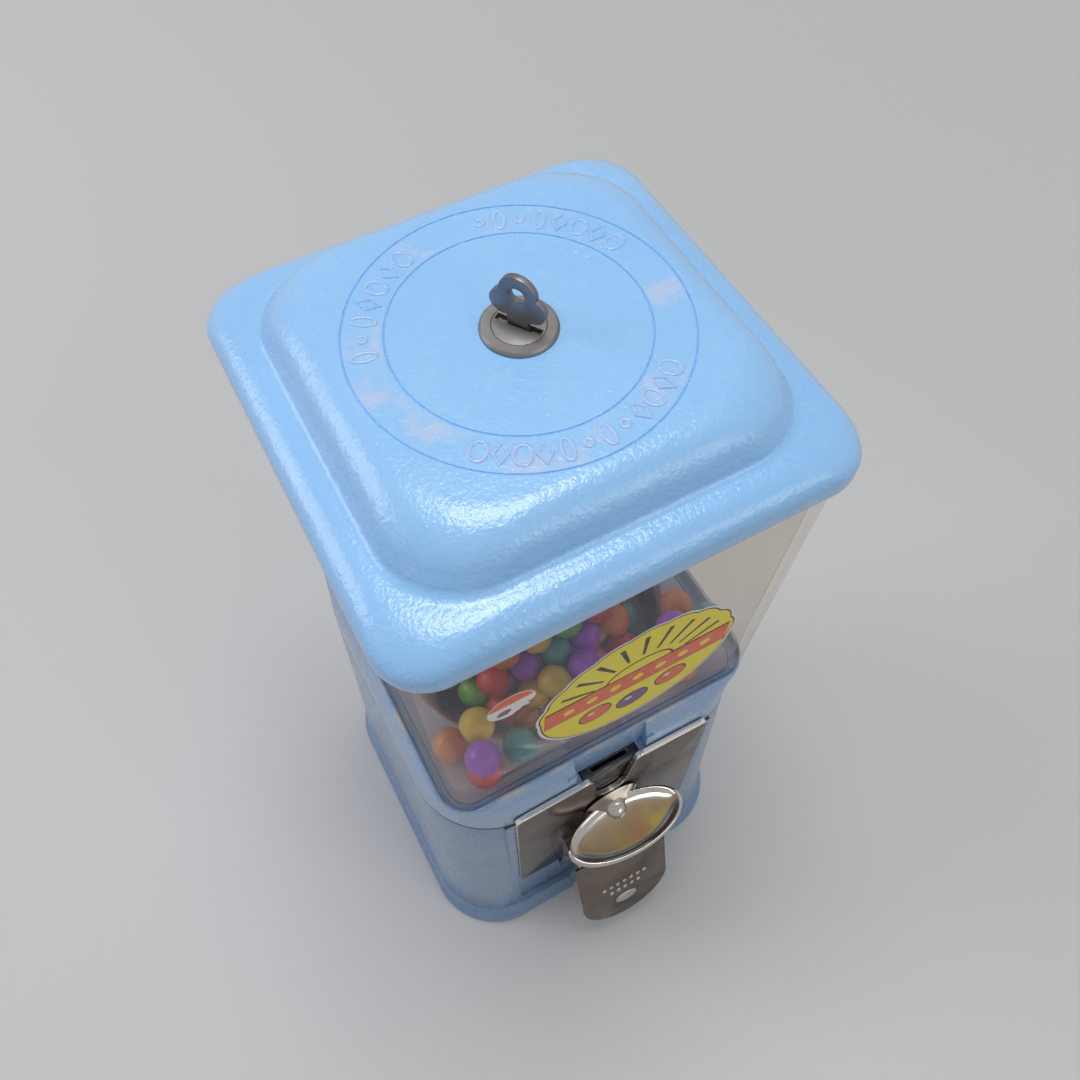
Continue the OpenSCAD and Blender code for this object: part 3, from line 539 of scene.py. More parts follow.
def metal(name, colour, dark, rough=(0.3, 0.5), scale=180):
    m = Nodes(name)
    fine = m.noise(scale, 4, 0.6)
    broad = m.ramp(m.noise(24, 4, 0.6), 0.35, 0.75)
    m.surface(Base_Color=m.mix(broad, colour, dark), Metallic=1.0,
              Roughness=m.ramp(fine, 0.3, 0.7, *rough), Normal=m.bump(fine, 0.05, 0.4))
    return m.material


def enamel(name, colour, worn):
    m = Nodes(name)
    wear = m.ramp(m.noise(210, 4, 0.65), 0.58, 0.68)
    m.surface(Base_Color=m.mix(wear, colour, worn), Coat_Weight=0.3,
              Roughness=m.ramp(m.noise(90), 0.3, 0.7, 0.18, 0.42),
              Normal=m.bump(m.noise(600, 2), 0.05, 0.4))
    return m.material


def rubber(name):
    m = Nodes(name)
    m.surface(Base_Color=m.mix(m.noise(60), (0.03, 0.03, 0.03), (0.07, 0.07, 0.065)),
              Roughness=0.75, Normal=m.bump(m.noise(700, 3), 0.08, 0.5))
    return m.material


def plastic(name):
    m = Nodes(name)
    m.surface(Base_Color=m.mix(m.noise(40), (0.26, 0.31, 0.36), (0.33, 0.38, 0.42)),
              Roughness=m.ramp(m.noise(150), 0.3, 0.7, 0.35, 0.55),
              Normal=m.bump(m.noise(800), 0.04, 0.4))
    return m.material


def pit_metal(name):
    """Grey-lilac ledge outside the pit, a red-brown rim and stained metal inside it."""
    m = Nodes(name)
    r = m.from_axis()
    ledge = m.mix(m.ramp(m.noise(40, 4), 0.35, 0.7), (0.50, 0.48, 0.57), (0.60, 0.57, 0.66))
    speck = m.times(m.ramp(m.cells(260), 0.16, 0.08), m.ramp(m.noise(30, 3), 0.5, 0.6))
    ledge = m.mix(m.times(speck, 0.5), ledge, (0.16, 0.13, 0.13))
    brown = m.mix(m.ramp(m.noise(60, 5, 0.6), 0.3, 0.7), (0.09, 0.045, 0.032), (0.20, 0.11, 0.08))
    rim = m.ramp(r, mm(PIT_R + 0.2), mm(PIT_R + 1.2))
    rust = m.times(m.ramp(r, mm(PIT_R + 4.2), mm(PIT_R + 2.8)),
                   m.ramp(m.noise(90, 3), 0.3, 0.6, 0.55, 1.0))
    outside = m.mix(rust, ledge, (0.24, 0.055, 0.03))
    m.surface(Base_Color=m.mix(rim, brown, outside), Metallic=0.15,
              Roughness=m.ramp(m.noise(120), 0.3, 0.7, 0.35, 0.6),
              Normal=m.bump(m.noise(300, 3), 0.1, 0.4))
    return m.material


def globe_glass(name):
    """Old clear glass with a brown tint, a fine grain of scratches and more gloss at a glance."""
    m = Nodes(name)
    grain = m.ramp(m.noise(900, 2, 0.7), 0.4, 0.7, 0.0, 0.02)
    cloud = m.ramp(m.noise(30, 5, 0.65), 0.35, 0.75, 0.0, 0.022)
    edge = m.ramp(m.glance(0.5), 0.90, 1.0, 0.0, 0.2)
    clear = m.shader("ShaderNodeBsdfTransparent", Color=(0.965, 0.94, 0.915))
    haze = m.shader("ShaderNodeBsdfDiffuse", Color=(0.50, 0.45, 0.42))
    gloss = m.shader("ShaderNodeBsdfAnisotropic", Color=(0.9, 0.9, 0.9), Roughness=0.06)
    body = m.blend(m.plus(m.plus(grain, cloud), edge), clear, haze)
    m.show(m.blend(m.ramp(m.glance(0.5), 0.60, 1.0, 0.02, 0.30), body, gloss))
    return m.material


def candy(name):
    """Sugar glaze in each ball's own colour."""
    m = Nodes(name)
    own = m.tree.nodes.new("ShaderNodeAttribute")
    own.attribute_name = "glaze"
    sugar = m.ramp(m.noise(150, 4), 0.45, 0.8, 0, 0.10)
    relief = m.bump(m.noise(260, 2), 0.16, 0.6)
    m.surface(Base_Color=m.mix(sugar, own.outputs["Color"], (0.80, 0.68, 0.58)),
              Roughness=m.ramp(m.noise(220), 0.3, 0.7, 0.26, 0.44), Normal=relief,
              Coat_Normal=relief, Coat_Weight=0.25, Coat_Roughness=0.18,
              Subsurface_Weight=0.06, Subsurface_Radius=(0.004, 0.003, 0.002))
    return m.material


def ink(name, colour):
    """One colour of a printed label, a little rubbed."""
    m = Nodes(name)
    rub = m.ramp(m.noise(120, 5, 0.65), 0.55, 0.8, 0.0, 0.25)
    m.surface(Base_Color=m.mix(rub, colour, [0.8 * c + 0.12 for c in colour]),
              Roughness=m.ramp(m.noise(300), 0.3, 0.7, 0.32, 0.5),
              Normal=m.bump(m.noise(500, 2), 0.02, 0.3))
    return m.material


BLUE = paint("blue_enamel", (0.315, 0.600, 0.955), (0.285, 0.560, 0.925), 0.8, worn=(46, 60))
# The collar, housing and base share the lid's blue paint; these darker copies of it are painted
# shade on the lower parts
BLUE_COLLAR_SHADED = paint("blue_enamel_collar_shaded", (0.285, 0.455, 0.700), (0.240, 0.400, 0.640), 0.6,
                    seams=(SEAM_Z,), rim=COLLAR_Z)
BLUE_BODY_SHADED = paint("blue_enamel_body_shaded", (0.185, 0.305, 0.490), (0.150, 0.262, 0.435), 0.4,
                 seams=(SEAM_Z, BASE_Z))
BLUE_FOOT_SHADED = paint("blue_enamel_foot_shaded", (0.200, 0.330, 0.530), (0.165, 0.285, 0.470), 0.4)
RELIEF_BLUE = paint("blue_enamel_worn", (0.44, 0.60, 0.88), (0.33, 0.57, 0.92), 1.0)
CHROME = chrome("plating", (0.50, 0.46, 0.42), (0.16, 0.10, 0.07))
# The plate's plating is far darker than the spout's: a painted reflection of dark surroundings
# mirrored in it
PLATE_CHROME_DARK_REFLECTION = chrome("plate_plating_dark_reflection", (0.135, 0.094, 0.070), (0.052, 0.032, 0.023),
                      centre=(8, -92, 152), reach=70, level=0.9)
FLAP_CHROME = chrome("flap_plating", (0.185, 0.146, 0.120), (0.080, 0.055, 0.041),
                     level=0.85, rough=(0.24, 0.46))
# A lighter copy of the plating for the handle: painted reflection of the light its upturned face
# catches
WING_CHROME_LIT = chrome("wing_plating_lit", (0.62, 0.59, 0.56), (0.30, 0.25, 0.20),
                     level=0.5, rough=(0.06, 0.22))
# Brighter, rougher plating for the plate's edges: a painted highlight
EDGE_CHROME_HIGHLIGHT = chrome("edge_plating_highlight", (0.86, 0.83, 0.80), (0.50, 0.42, 0.36),
                     level=0.4, rough=(0.2, 0.36))
BEAD_CHROME = chrome("bead_plating", (0.62, 0.58, 0.54), (0.36, 0.31, 0.27),
                     level=0.5, rough=(0.12, 0.3))
STEEL = metal("zinc_steel", (0.5, 0.5, 0.5), (0.33, 0.32, 0.3))
DARK = metal("oiled_steel", (0.2, 0.2, 0.21), (0.1, 0.095, 0.09), (0.3, 0.45))
KEY_STEEL = metal("key_steel", (0.27, 0.265, 0.285), (0.15, 0.145, 0.16), (0.34, 0.5))
BRASS = metal("turned_brass", (0.6, 0.42, 0.16), (0.4, 0.27, 0.1))
LOCK_STEEL = metal("lock_steel", (0.27, 0.262, 0.255), (0.20, 0.17, 0.148), (0.42, 0.6), 90)
BLACK = enamel("black_enamel", (0.012, 0.012, 0.014), (0.07, 0.065, 0.06))
RUBBER = rubber("gasket_rubber")
PLASTIC = plastic("wheel_plastic")
PIT = pit_metal("cast_pit")
GLASS = globe_glass("globe_glass")
CANDY = candy("sugar_glaze")
INKS = {
    "white": ink("label_white", (0.82, 0.80, 0.76)),
    "black": ink("label_black", (0.02, 0.02, 0.02)),
    "yellow": ink("label_yellow", (0.88, 0.72, 0.02)),
    "red": ink("label_red", (0.78, 0.13, 0.05)),
    "purple": ink("label_purple", (0.20, 0.09, 0.22)),
}

# ------------------------------------------------------------------ housing


def base():
    """Flared base plate, hollow inside, with the rod's boss and the screw bosses."""
    half, top, r = BODY_LOW_HALF, BASE_Z, BODY_R + 1
    flare = FOOT_HALF - half
    rim, floor_z = 7, 4
    rod_boss_r, screw_boss_r = 12, 7.5
    screw_r, head_r, head_up, stand_r = 2.2, 4.1, 3, 3.5
    rows = [(FOOT_HALF - 1.2, r - 1, 0), (FOOT_HALF - 0.3, r - 0.3, 0.5), (FOOT_HALF, r, 1.8),
            (FOOT_HALF, r, top / 4), (half + 0.78 * flare, r, 0.42 * top),
            (half + flare / 2, r, top / 2 + 1), (half + flare / 5, r, top - 3),
            (half + 0.4, r, top - 1.2), (half - 0.3, r, top)]
    obj = square_loft("base_casting", flow(rows))
    cut(obj, square_loft("tool", [(half - rim, r - rim, z) for z in (floor_z, top + 1)]))
    screws = corners(half - SCREW_INSET)
    bosses = [rod(rod_boss_r, (0, 0, floor_z - 1), (0, 0, 2 * top - 2))]
    bosses += [rod(screw_boss_r, (x, y, floor_z - 1), (x, y, top - 0.1)) for x, y in screws]
    join(obj, *bosses)
    holes = [rod(ROD_R + RUN, (0, 0, floor_z + 2), (0, 0, 2 * top))]
    for x, y in screws:
        holes += [rod(screw_r, (x, y, -1), (x, y, top + 1)),
                  rod(head_r, (x, y, -1), (x, y, head_up))]
    holes += [rod(stand_r, (x, y, -1), (x, y, floor_z + 1)) for x, y in corners(STAND_HALF)]
    cut(obj, *holes)
    finished(obj, "root", BLUE_FOOT_SHADED, ["base_plate"])


def housing():
    """Drafted walls with a flat front panel, open for the mechanism and the spout."""
    soft = 1.5
    edge = [(0.7, 0), (0.15, 0.5)]
    panel_half, opening_half, opening_low = 60, 44, SHAFT_Z - 42
    boss_r, boss_h = 7, 24
    outside = [(BODY_LOW_HALF - back, BODY_R, BASE_Z + up) for back, up in edge]
    outside += [(body_half(z), BODY_R, z) for z in (BASE_Z + soft, 60, 100, 140, SEAM_Z - soft)]
    outside += [(BODY_HALF - back, BODY_R, SEAM_Z - up) for back, up in reversed(edge)]
    inside = [(body_half(z) - WALL, BODY_R - WALL, z) for z in (BASE_Z, SEAM_Z)]
    obj = square_shell("housing_shell", outside, inside)
    join(obj, cube(-panel_half, -BODY_LOW_HALF + 2, BASE_Z + 1,
                   panel_half, -BODY_HALF + WALL, SEAM_Z - 0.5))
    flat = cube(-PLATE_SIDE, -FAR, BASE_Z - 1, PLATE_SIDE, PANEL_Y, SEAM_Z + 1)
    opening = cube(-opening_half, -FAR, opening_low, opening_half, INSIDE_Y, SEAM_Z + 1)
    r = SPOUT_R + 0.4
    spout = slab("tool", arc(0, SPOUT_MID_Z, r, 180, 360, 32) + [(r, HINGE.z), (-r, HINGE.z)],
                 -FAR, INSIDE_Y)
    # The flat face leans back from a bend up to the seam, so no ledge shows under the collar
    rise = (SEAM_Z - BASE_Z) * (-FACE_Y - BODY_HALF) / (BODY_LOW_HALF - BODY_HALF)
    seam_y = -BODY_HALF - 0.02
    outline = [(-FAR, BASE_Z - 1), (FACE_Y, BASE_Z - 1), (FACE_Y, SEAM_Z - rise),
               (seam_y, SEAM_Z), (seam_y, SEAM_Z + 1), (-FAR, SEAM_Z + 1)]
    face = skin("tool", [[(x, y, z) for y, z in outline] for x in (-FAR, FAR)])
    cut(obj, flat, face, opening, spout)
    join(obj, *[rod(boss_r, (x, y, BASE_Z), (x, y, BASE_Z + boss_h))
                for x, y in corners(BODY_LOW_HALF - SCREW_INSET)])
    finished(obj, "root", BLUE_BODY_SHADED, ["lower_housing"], 28)


def collar():
    """Shoulder between the housing and the globe, with the coin notch in front."""
    top, mid_r = COLLAR_Z, (BODY_R + RIM_R + 4) / 2
    hollow_half, roof = BODY_HALF - WALL, SEAM_Z + 21
    seat_half, globe_half = GLOBE_HALF - GLASS_T, GLOBE_HALF + 0.4
    outside = [(BODY_HALF - 0.7, BODY_R, SEAM_Z), (BODY_HALF - 0.1, BODY_R, SEAM_Z + 0.6),
               (BODY_HALF, BODY_R, SEAM_Z + 2), (BODY_HALF - 0.3, BODY_R - 1, SEAM_Z + 8),
               (BODY_HALF - 0.7, BODY_R - 3, SEAM_Z + 14), (BODY_HALF - 2.2, mid_r, SEAM_Z + 23),
               (COLLAR_HALF + 1, RIM_R + 4, top - 5), (COLLAR_HALF + 0.5, RIM_R + 2, top - 1.5),
               (COLLAR_HALF, RIM_R + 1.2, top - 0.5), (COLLAR_HALF - 0.7, RIM_R + 0.6, top)]
    inside = [(hollow_half, BODY_R - WALL, SEAM_Z), (hollow_half - 1.9, 30, roof),
              (seat_half - 2, 12, roof + 0.2), (seat_half - 2, 12, SEAT_Z - 3.2),
              (seat_half, 11, SEAT_Z - 3), (seat_half, 11, SEAT_Z),
              (globe_half, GLOBE_R + 0.4, SEAT_Z + 0.05), (globe_half, GLOBE_R + 0.4, top)]
    obj = square_shell("collar_casting", flow(outside), inside)
    boss_half, boss_back, boss_top = 24, -78.5, 209
    join(obj, cube(-boss_half, PANEL_Y + 1, SEAM_Z + 0.2, boss_half, boss_back, boss_top))
    flat = cube(-PLATE_SIDE, -FAR, SEAM_Z - 2, PLATE_SIDE, PANEL_Y, PLATE_TOP + 1)
    notch_half, slot_half, slot_back = 20, 16.4, -75.6
    notch = cube(-notch_half, -FAR, GUIDE_TOP - 0.5, notch_half, -GLOBE_HALF - 1.4, top + 5)
    slot = cube(-slot_half, -FAR, SEAM_Z - 2, slot_half, slot_back, GUIDE_TOP + 0.4)
    cut(obj, flat, notch, slot)
    finished(obj, "root", BLUE_COLLAR_SHADED, ["collar"], 30)


# ------------------------------------------------------------------ lid

LID_R = 19.4          # corners of the lid's edge
LID_EDGE = 7          # its upright part
FLANGE_R, FLANGE_UP = 12.5, 10.6
STEP_Z = LID_Z + LID_EDGE + FLANGE_UP
CROWN = LID_HALF - 16.5
DOME_R, DOME_UP = 15.5, LID_TOP - STEP_Z
LINE_RADII = (CROWN - 2 * DOME_R + 1, CROWN - DOME_R)


def lid():
    """Stepped, domed lid with two turned lines on its flat top."""
    rows = [(LID_HALF - 1.4, LID_R - 1, LID_Z), (LID_HALF - 0.5, LID_R - 0.4, LID_Z + 0.5),
            (LID_HALF, LID_R, LID_Z + 2.5)]
    for a in range(0, 76, 5):
        turn = math.radians(a)
        rows.append((LID_HALF - FLANGE_R * (1 - math.cos(turn)), LID_R + a / 8,
                     LID_Z + LID_EDGE + FLANGE_UP * math.sin(turn)))
    rows += flow([(CROWN + 5.2, 28.9, STEP_Z - 0.1), (CROWN + 2.6, 29.4, STEP_Z + 0.15),
                  (CROWN + 0.9, 29.8, STEP_Z + 1.6), (CROWN + 0.1, 30.2, STEP_Z + 3.6)])
    for a in range(20, 91, 5):
        turn = math.radians(a)
        rows.append((CROWN - DOME_R * (1 - math.cos(turn)), 30 + a / 15,
                     STEP_Z + DOME_UP * math.sin(turn)))
    inner, inner_r, seat_z = GLOBE_TOP_HALF + 0.9, 15.4, LID_Z + 8.8
    hollow, hollow_z, roof = CROWN - 2.4, STEP_Z + 1, LID_TOP - 4
    inside = [(inner, inner_r, LID_Z), (inner, inner_r, seat_z), (inner - 5.6, inner_r, seat_z),
              (inner - 6.6, 18, LID_Z + 11), (hollow, 28, hollow_z)]
    for a in range(18, 91, 18):
        turn = math.radians(a)
        inside.append((hollow - (DOME_R + 1) * (1 - math.cos(turn)), 28 + a / 22.5,
                       hollow_z + (roof - hollow_z) * math.sin(turn)))
    obj = square_loft("lid_casting", list(reversed(inside)) + rows)
    hole = rod(LOCK_STEM_R + 0.3, (0, 0, LID_TOP - 10), (0, 0, LID_TOP + 2), 96)
    cut(obj, hole, *[turned_line(r) for r in LINE_RADII])
    finished(obj, "lid", BLUE, ["lid"], 30)


def turned_line(r):
    """A ring with a round bottom, that cuts a line into the lid."""
    half, deep = 0.4, 0.6
    rings = [[(x, y, LID_TOP + deep * dz) for x, y in circle_points(r + half * dr, 160)]
             for dr, dz in circle_points(1, 8)]
    return skin("tool", rings, closed=False)


def raised_stroke(path):
    """Rings of points for a rounded ridge along a closed path on the lid's top."""
    half, up = 0.75, 0.55
    section = [(-1, -0.1), (-0.8, 0.6), (-0.4, 1), (0.4, 1), (0.8, 0.6), (1, -0.1)]
    rings = []
    for i, here in enumerate(path):
        along = Vector(path[(i + 1) % len(path)]) - Vector(path[i - 1])
        side = Vector((-along.y, along.x)).normalized()
        rings.append([(here[0] + side.x * s * half, here[1] + side.y * s * half, LID_TOP + z * up)
                      for s, z in section])
    return rings


def leaf(across, along):
    """A pointed oval."""
    turns = [math.pi * i / 14 for i in range(14)]
    side = [(across * math.sin(a), along * math.cos(a)) for a in turns]
    return side + [(-x, -y) for x, y in side]


def lid_relief():
    """Raised outlines of ovals, leaves, lozenges and rings in three groups between the lines."""
    middle = sum(LINE_RADII) / 2
    motifs = [
        [(2.9 * x, 3.9 * y) for x, y in circle_points(1, 28)],
        leaf(1.9, 4.4),
        [(2.4 * x, 4.2 * y) for x, y in circle_points(1, 4)],
        [(1.5 * x, 1.5 * y) for x, y in circle_points(1, 20)],
    ]
    points, faces = [], []
    for start, end, count in ((22, 78, 8), (114, 166, 7), (228, 312, 12)):
        for i in range(count):
            a = math.radians(start + (end - start) * i / (count - 1))
            path = [((middle + v) * math.cos(a) + u * math.sin(a),
                     (middle + v) * math.sin(a) - u * math.cos(a))
                    for u, v in motifs[(2 * i + i // 4) % 4]]
            rings = raised_stroke(path)
            faces += band(len(points), len(rings), len(rings[0]), around=True)
            points += [p for ring in rings for p in ring]
    obj = object_from("lid_relief", points, faces)
    finished(obj, "lid", RELIEF_BLUE, angle=40)


def lock():
    """Lock case let into the lid, hollow for the plug."""
    top, bottom, r = high("lock_case").z, low("lock_case").z, high("lock_case").x
    stem, plug, bore = LOCK_STEM_R, 9.46, 6.56
    seat, plug_floor = LID_TOP - 0.01, top - 3.2
    profile = [(bore, bottom), (stem - 0.2, bottom), (stem, bottom + 0.4), (stem, seat),
               (r - 0.4, seat), (r, LID_TOP + 0.3), (r, top - 1.4), (r - 0.25, top - 0.6),
               (r - 0.9, top), (plug + 0.24, top), (plug, top - 0.25), (plug, plug_floor),
               (bore, plug_floor)]
    case = revolve("lock_barrel", profile, closed=False)
    finished(case, "lid", LOCK_STEEL, ["lock_case"], 40)


# ------------------------------------------------------------------ globe and sweets


def globe():
    """Square jar that widens upwards, with a rounded foot and rim."""
    foot, top = GLOBE_HALF, GLOBE_TOP_HALF
    outside = [(foot - 2.4, 11.6, SEAT_Z), (foot - 1.3, 12.2, SEAT_Z + 0.8),
               (foot - 0.3, 12.8, SEAT_Z + 2.8), (glass_half(SEAT_Z + 5.6), 13, SEAT_Z + 5.6),
               (glass_half(GLOBE_TOP - 3), 15, GLOBE_TOP - 3),
               (glass_half(GLOBE_TOP - 0.9), 15, GLOBE_TOP - 0.9),
               (top - 0.6, 15, GLOBE_TOP - 0.2), (top - 1.3, 14.6, GLOBE_TOP)]
    inside = [(foot - GLASS_T + 0.4, 9.4, SEAT_Z), (foot - GLASS_T, 9, SEAT_Z + 1),
              (foot - GLASS_T, 9, SEAT_Z + 5), (top - GLASS_T - 0.1, 11, GLOBE_TOP - 1),
              (top - GLASS_T + 0.5, 11.4, GLOBE_TOP)]
    obj = square_shell("globe_jar", outside, inside, 16)
    finished(obj, "root", GLASS, ["globe"], 50)


SWEETS = {
    "yellow": (0.95, 0.68, 0.03), "red": (0.80, 0.05, 0.03), "orange": (0.98, 0.30, 0.03),
    "purple": (0.46, 0.06, 0.88), "teal": (0.07, 0.42, 0.44), "green": (0.20, 0.60, 0.05),
    "pink": (0.95, 0.20, 0.48),
}
# The balls that show in front: colour, and roughly where each lies
SHOWN = [
    ("orange", (-68, -50, 225)), ("red", (-59, -69, 225)), ("purple", (-59, -69, 242)),
    ("yellow", (-54, -52, 240)), ("teal", (-39, -66, 225)), ("pink", (-47, -28, 225)),
    ("red", (-28, -40, 225)), ("yellow", (-3, -39, 225)), ("purple", (12, -47, 225)),
    ("green", (-52, -36, 212)), ("yellow", (-14, -24, 240)), ("red", (20, -26, 232)),
    ("orange", (50, -68, 225)), ("purple", (69, -59, 225)), ("teal", (69, -59, 242)),
    ("purple", (52, -54, 240)), ("orange", (66, -39, 225)),
]


def ball_centres():
    """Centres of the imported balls, from the solids' own islands, in metres."""
    bm = bmesh.new()
    bm.from_mesh(frame["nodes"]["gumballs"].data)
    bmesh.ops.remove_doubles(bm, verts=bm.verts, dist=mm(0.01))
    seen, centres = set(), []
    for vert in bm.verts:
        if vert.index in seen:
            continue
        stack, island = [vert], []
        seen.add(vert.index)
        while stack:
            v = stack.pop()
            island.append(v.co)
            for edge in v.link_edges:
                other = edge.other_vert(v)
                if other.index not in seen:
                    seen.add(other.index)
                    stack.append(other)
        lows = [min(co[k] for co in island) for k in range(3)]
        highs = [max(co[k] for co in island) for k in range(3)]
        centres.append(Vector((a + b) / 2 for a, b in zip(lows, highs)))
    bm.free()
    return sorted(centres, key=lambda c: (round(c.z, 4), round(c.y, 4), round(c.x, 4)))


def gumballs():
    """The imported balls, each a little lumpy and with a glaze of its own."""
    lumps, shrink = 0.02, 0.99
    rng = random.Random(7)
    centres = ball_centres()
    names = [rng.choice(list(SWEETS)) for _ in centres]
    for name, place in SHOWN:
        spot = Vector([mm(c) for c in place])
        names[min(range(len(centres)), key=lambda i: (centres[i] - spot).length)] = name
    bm = bmesh.new()
    layer = bm.verts.layers.float_color.new("glaze")
    for centre, name in zip(centres, names):
        tone = rng.uniform(0.85, 1.1)
        made = bmesh.ops.create_icosphere(bm, subdivisions=3, radius=mm(BALL_R))["verts"]
        turn = Matrix.Rotation(rng.uniform(0, 3), 3, Vector((rng.random(), rng.random(), 1)))
        offset = Vector([rng.uniform(-9, 9) for _ in range(3)])
        for vert in made:
            lump = 1 + lumps * noise.noise(vert.co / mm(BALL_R) * 1.4 + offset)
            vert.co = turn @ (vert.co * lump) * shrink + centre
            vert[layer] = (*[min(c * tone, 1) for c in SWEETS[name]], 1)
    mesh = bpy.data.meshes.new("gumball_pile")
    bm.to_mesh(mesh)
    bm.free()
    finished(piece_from(mesh, "gumball_pile"), "root", CANDY, ["gumballs"], 60)


# ------------------------------------------------------------------ coin mechanism


def plate_outline():
    """The plate's outline, counter-clockwise from its lower right corner."""
    lo, hi, r = PLATE_LOW, PLATE_TOP, PLATE_R
    side = PLATE_HALF - r
    notch_z, notch_r, horn_x, horn_z = SHAFT_Z + 22, 8.5, 16, hi - 2
    points = [(SPOUT_R, lo)] + arc(side, lo + r, r, -90, 0, 6) + arc(side, hi - r, r, 0, 90, 6)
    points += arc(horn_x, horn_z, r, 60, 195, 10) + [(notch_r, notch_z + 2)]
    points += arc(0, notch_z, notch_r, 0, -180, 20) + [(-notch_r, notch_z + 2)]
    points += arc(-horn_x, horn_z, r, -15, 120, 10)
    points += arc(-side, hi - r, r, 90, 180, 6) + arc(-side, lo + r, r, 180, 270, 6)
    points += [(-SPOUT_R, lo), (-SPOUT_R, HINGE.z - 1), (SPOUT_R, HINGE.z - 1)]
    return points


def front_plate():
    """Plate with soft edges, its boss for the shaft and the studs behind it."""
    boss_r, stud_r, stud_x, stud_heights = SHAFT_R + 4, 2, 40, (SHAFT_Z - 36, SEAM_Z - 6)
    obj = slab("mechanism_plate", plate_outline(), PLATE_FRONT, PANEL_Y)
    join(obj, rod(boss_r, (0, PLATE_FRONT - PLATE_BOSS, SHAFT_Z), (0, PANEL_Y - 0.5, SHAFT_Z), 64))
    join(obj, *[rod(stud_r, (x, PANEL_Y - 1, z), (x, STUD_END, z), 24)
                for x in (-stud_x, stud_x) for z in stud_heights])
    cut(obj, rod(SHAFT_R + RUN, (0, -100, SHAFT_Z), (0, -80, SHAFT_Z), 64))
    bevel(obj, 1.1, 4, 60)
    finished(obj, "root", PLATE_CHROME_DARK_REFLECTION, ["front_plate"], 40)
    # Its edges get a brighter plating than its faces: a painted highlight along the edges
    obj.data.materials.append(EDGE_CHROME_HIGHLIGHT)
    for face in obj.data.polygons:
        face.material_index = int(abs(face.normal.y) < 0.97)


def wing():
    """The half-moon handle: a dished oval plate with a rolled rim across a flared hub."""
    back = PLATE_FRONT - 1.2
    mid, half_y = (HANDLE_FRONT + back) / 2, (back - HANDLE_FRONT) / 2
    # From the middle to the rim: share of the way out, and half the thickness
    upper = [(0.02, 1.4), (0.4, 1.5), (0.74, 1.8), (0.86, 2.3), (0.93, 2.95), (0.975, 2.8),
             (1.0, 1.7), (1.0, 0)]
    section = upper + [(share, -up) for share, up in reversed(upper[:-1])]
    rings = [[(share * WING_HALF * x, mid + share * half_y * y, SHAFT_Z + up)
              for x, y in circle_points(1, 96)] for share, up in flow(section)]
    obj = skin("handle_wing", rings)
    hub_r, hub_h = 6, 5.6
    hub = [(15.6, 0), (16, 0.5), (14.0, 1.2), (10.6, 2.2), (8.2, 3.4), (6.8, 4.6), (6.1, hub_h)]
    hub += arc(0, hub_h, hub_r, 12, 90, 6)
    place = Matrix.Translation((0, PLATE_FRONT - 0.7, SHAFT_Z)) @ Matrix.Rotation(
        math.radians(90), 4, "X")
    join(obj, revolve("tool", hub, 64, place))
    finished(obj, "handle", WING_CHROME_LIT, ["handle"], 40)


def flap_boss():
    """Raised oval and two rows of beads on the flap's face."""
    proud, tip_z = 3.2, 22
    front = min(v.co.y for v in frame["nodes"]["chute_flap"].data.vertices) * 1000
    lean = math.atan2(HINGE.y - front - proud, HINGE.z - tip_z)
    place = (Matrix.Translation(HINGE) @ Matrix.Rotation(-lean, 4, "X")
             @ Matrix.Translation((0, -proud, 0)))
    section = [(1.0, -0.1), (0.9, 0.6), (0.62, 0.95), (0.3, 1.0)]
    points, faces = [], []

    def dome(x, z, rx, rz, up, steps):
        first, top = len(points), len(section) - 1
        for grow, out in section:
            for u, v in circle_points(grow, steps):
                points.append(tuple(place @ Vector((x + rx * u, -up * out, z + rz * v))))
        faces.extend(band(first, len(section), steps))
        faces.extend([cap(first, steps), cap(first + top * steps, steps)])

    dome(0, -72, 7.5, 5.5, 0.8, 40)
    for row, count in ((-50, 7), (-58, 5)):
        for i in range(count):
            dome(4.6 * (i - (count - 1) / 2), row, 1.5, 1.5, 0.7, 20)
    obj = object_from("flap_beads", points, faces)
    finished(obj, "flap", BEAD_CHROME, angle=40)


# ------------------------------------------------------------------ labels on the glass


def label(name, layers):
    """Thin printed sheets on the front glass: the outline, ink and level of each."""
    sheet_back, sheet_step = 0.02, 0.05
    points, faces, inks, used = [], [], [], []
    for outline, colour, level in layers:
        if colour not in used:
            used.append(colour)
        n, first = len(outline), len(points)
        for lift in (sheet_back, sheet_step * level):
            points += [(x, -glass_half(z) - lift, z) for x, z in outline]
        sheet = [cap(first + n, n)] + band(first, 2, n)
        faces += sheet
        inks += [used.index(colour)] * len(sheet)
    obj = object_from(name, points, faces)
    finished(obj, "root", INKS[used[0]])
    for colour in used[1:]:
        obj.data.materials.append(INKS[colour])
    for face, index in zip(obj.data.polygons, inks):
        face.material_index = index


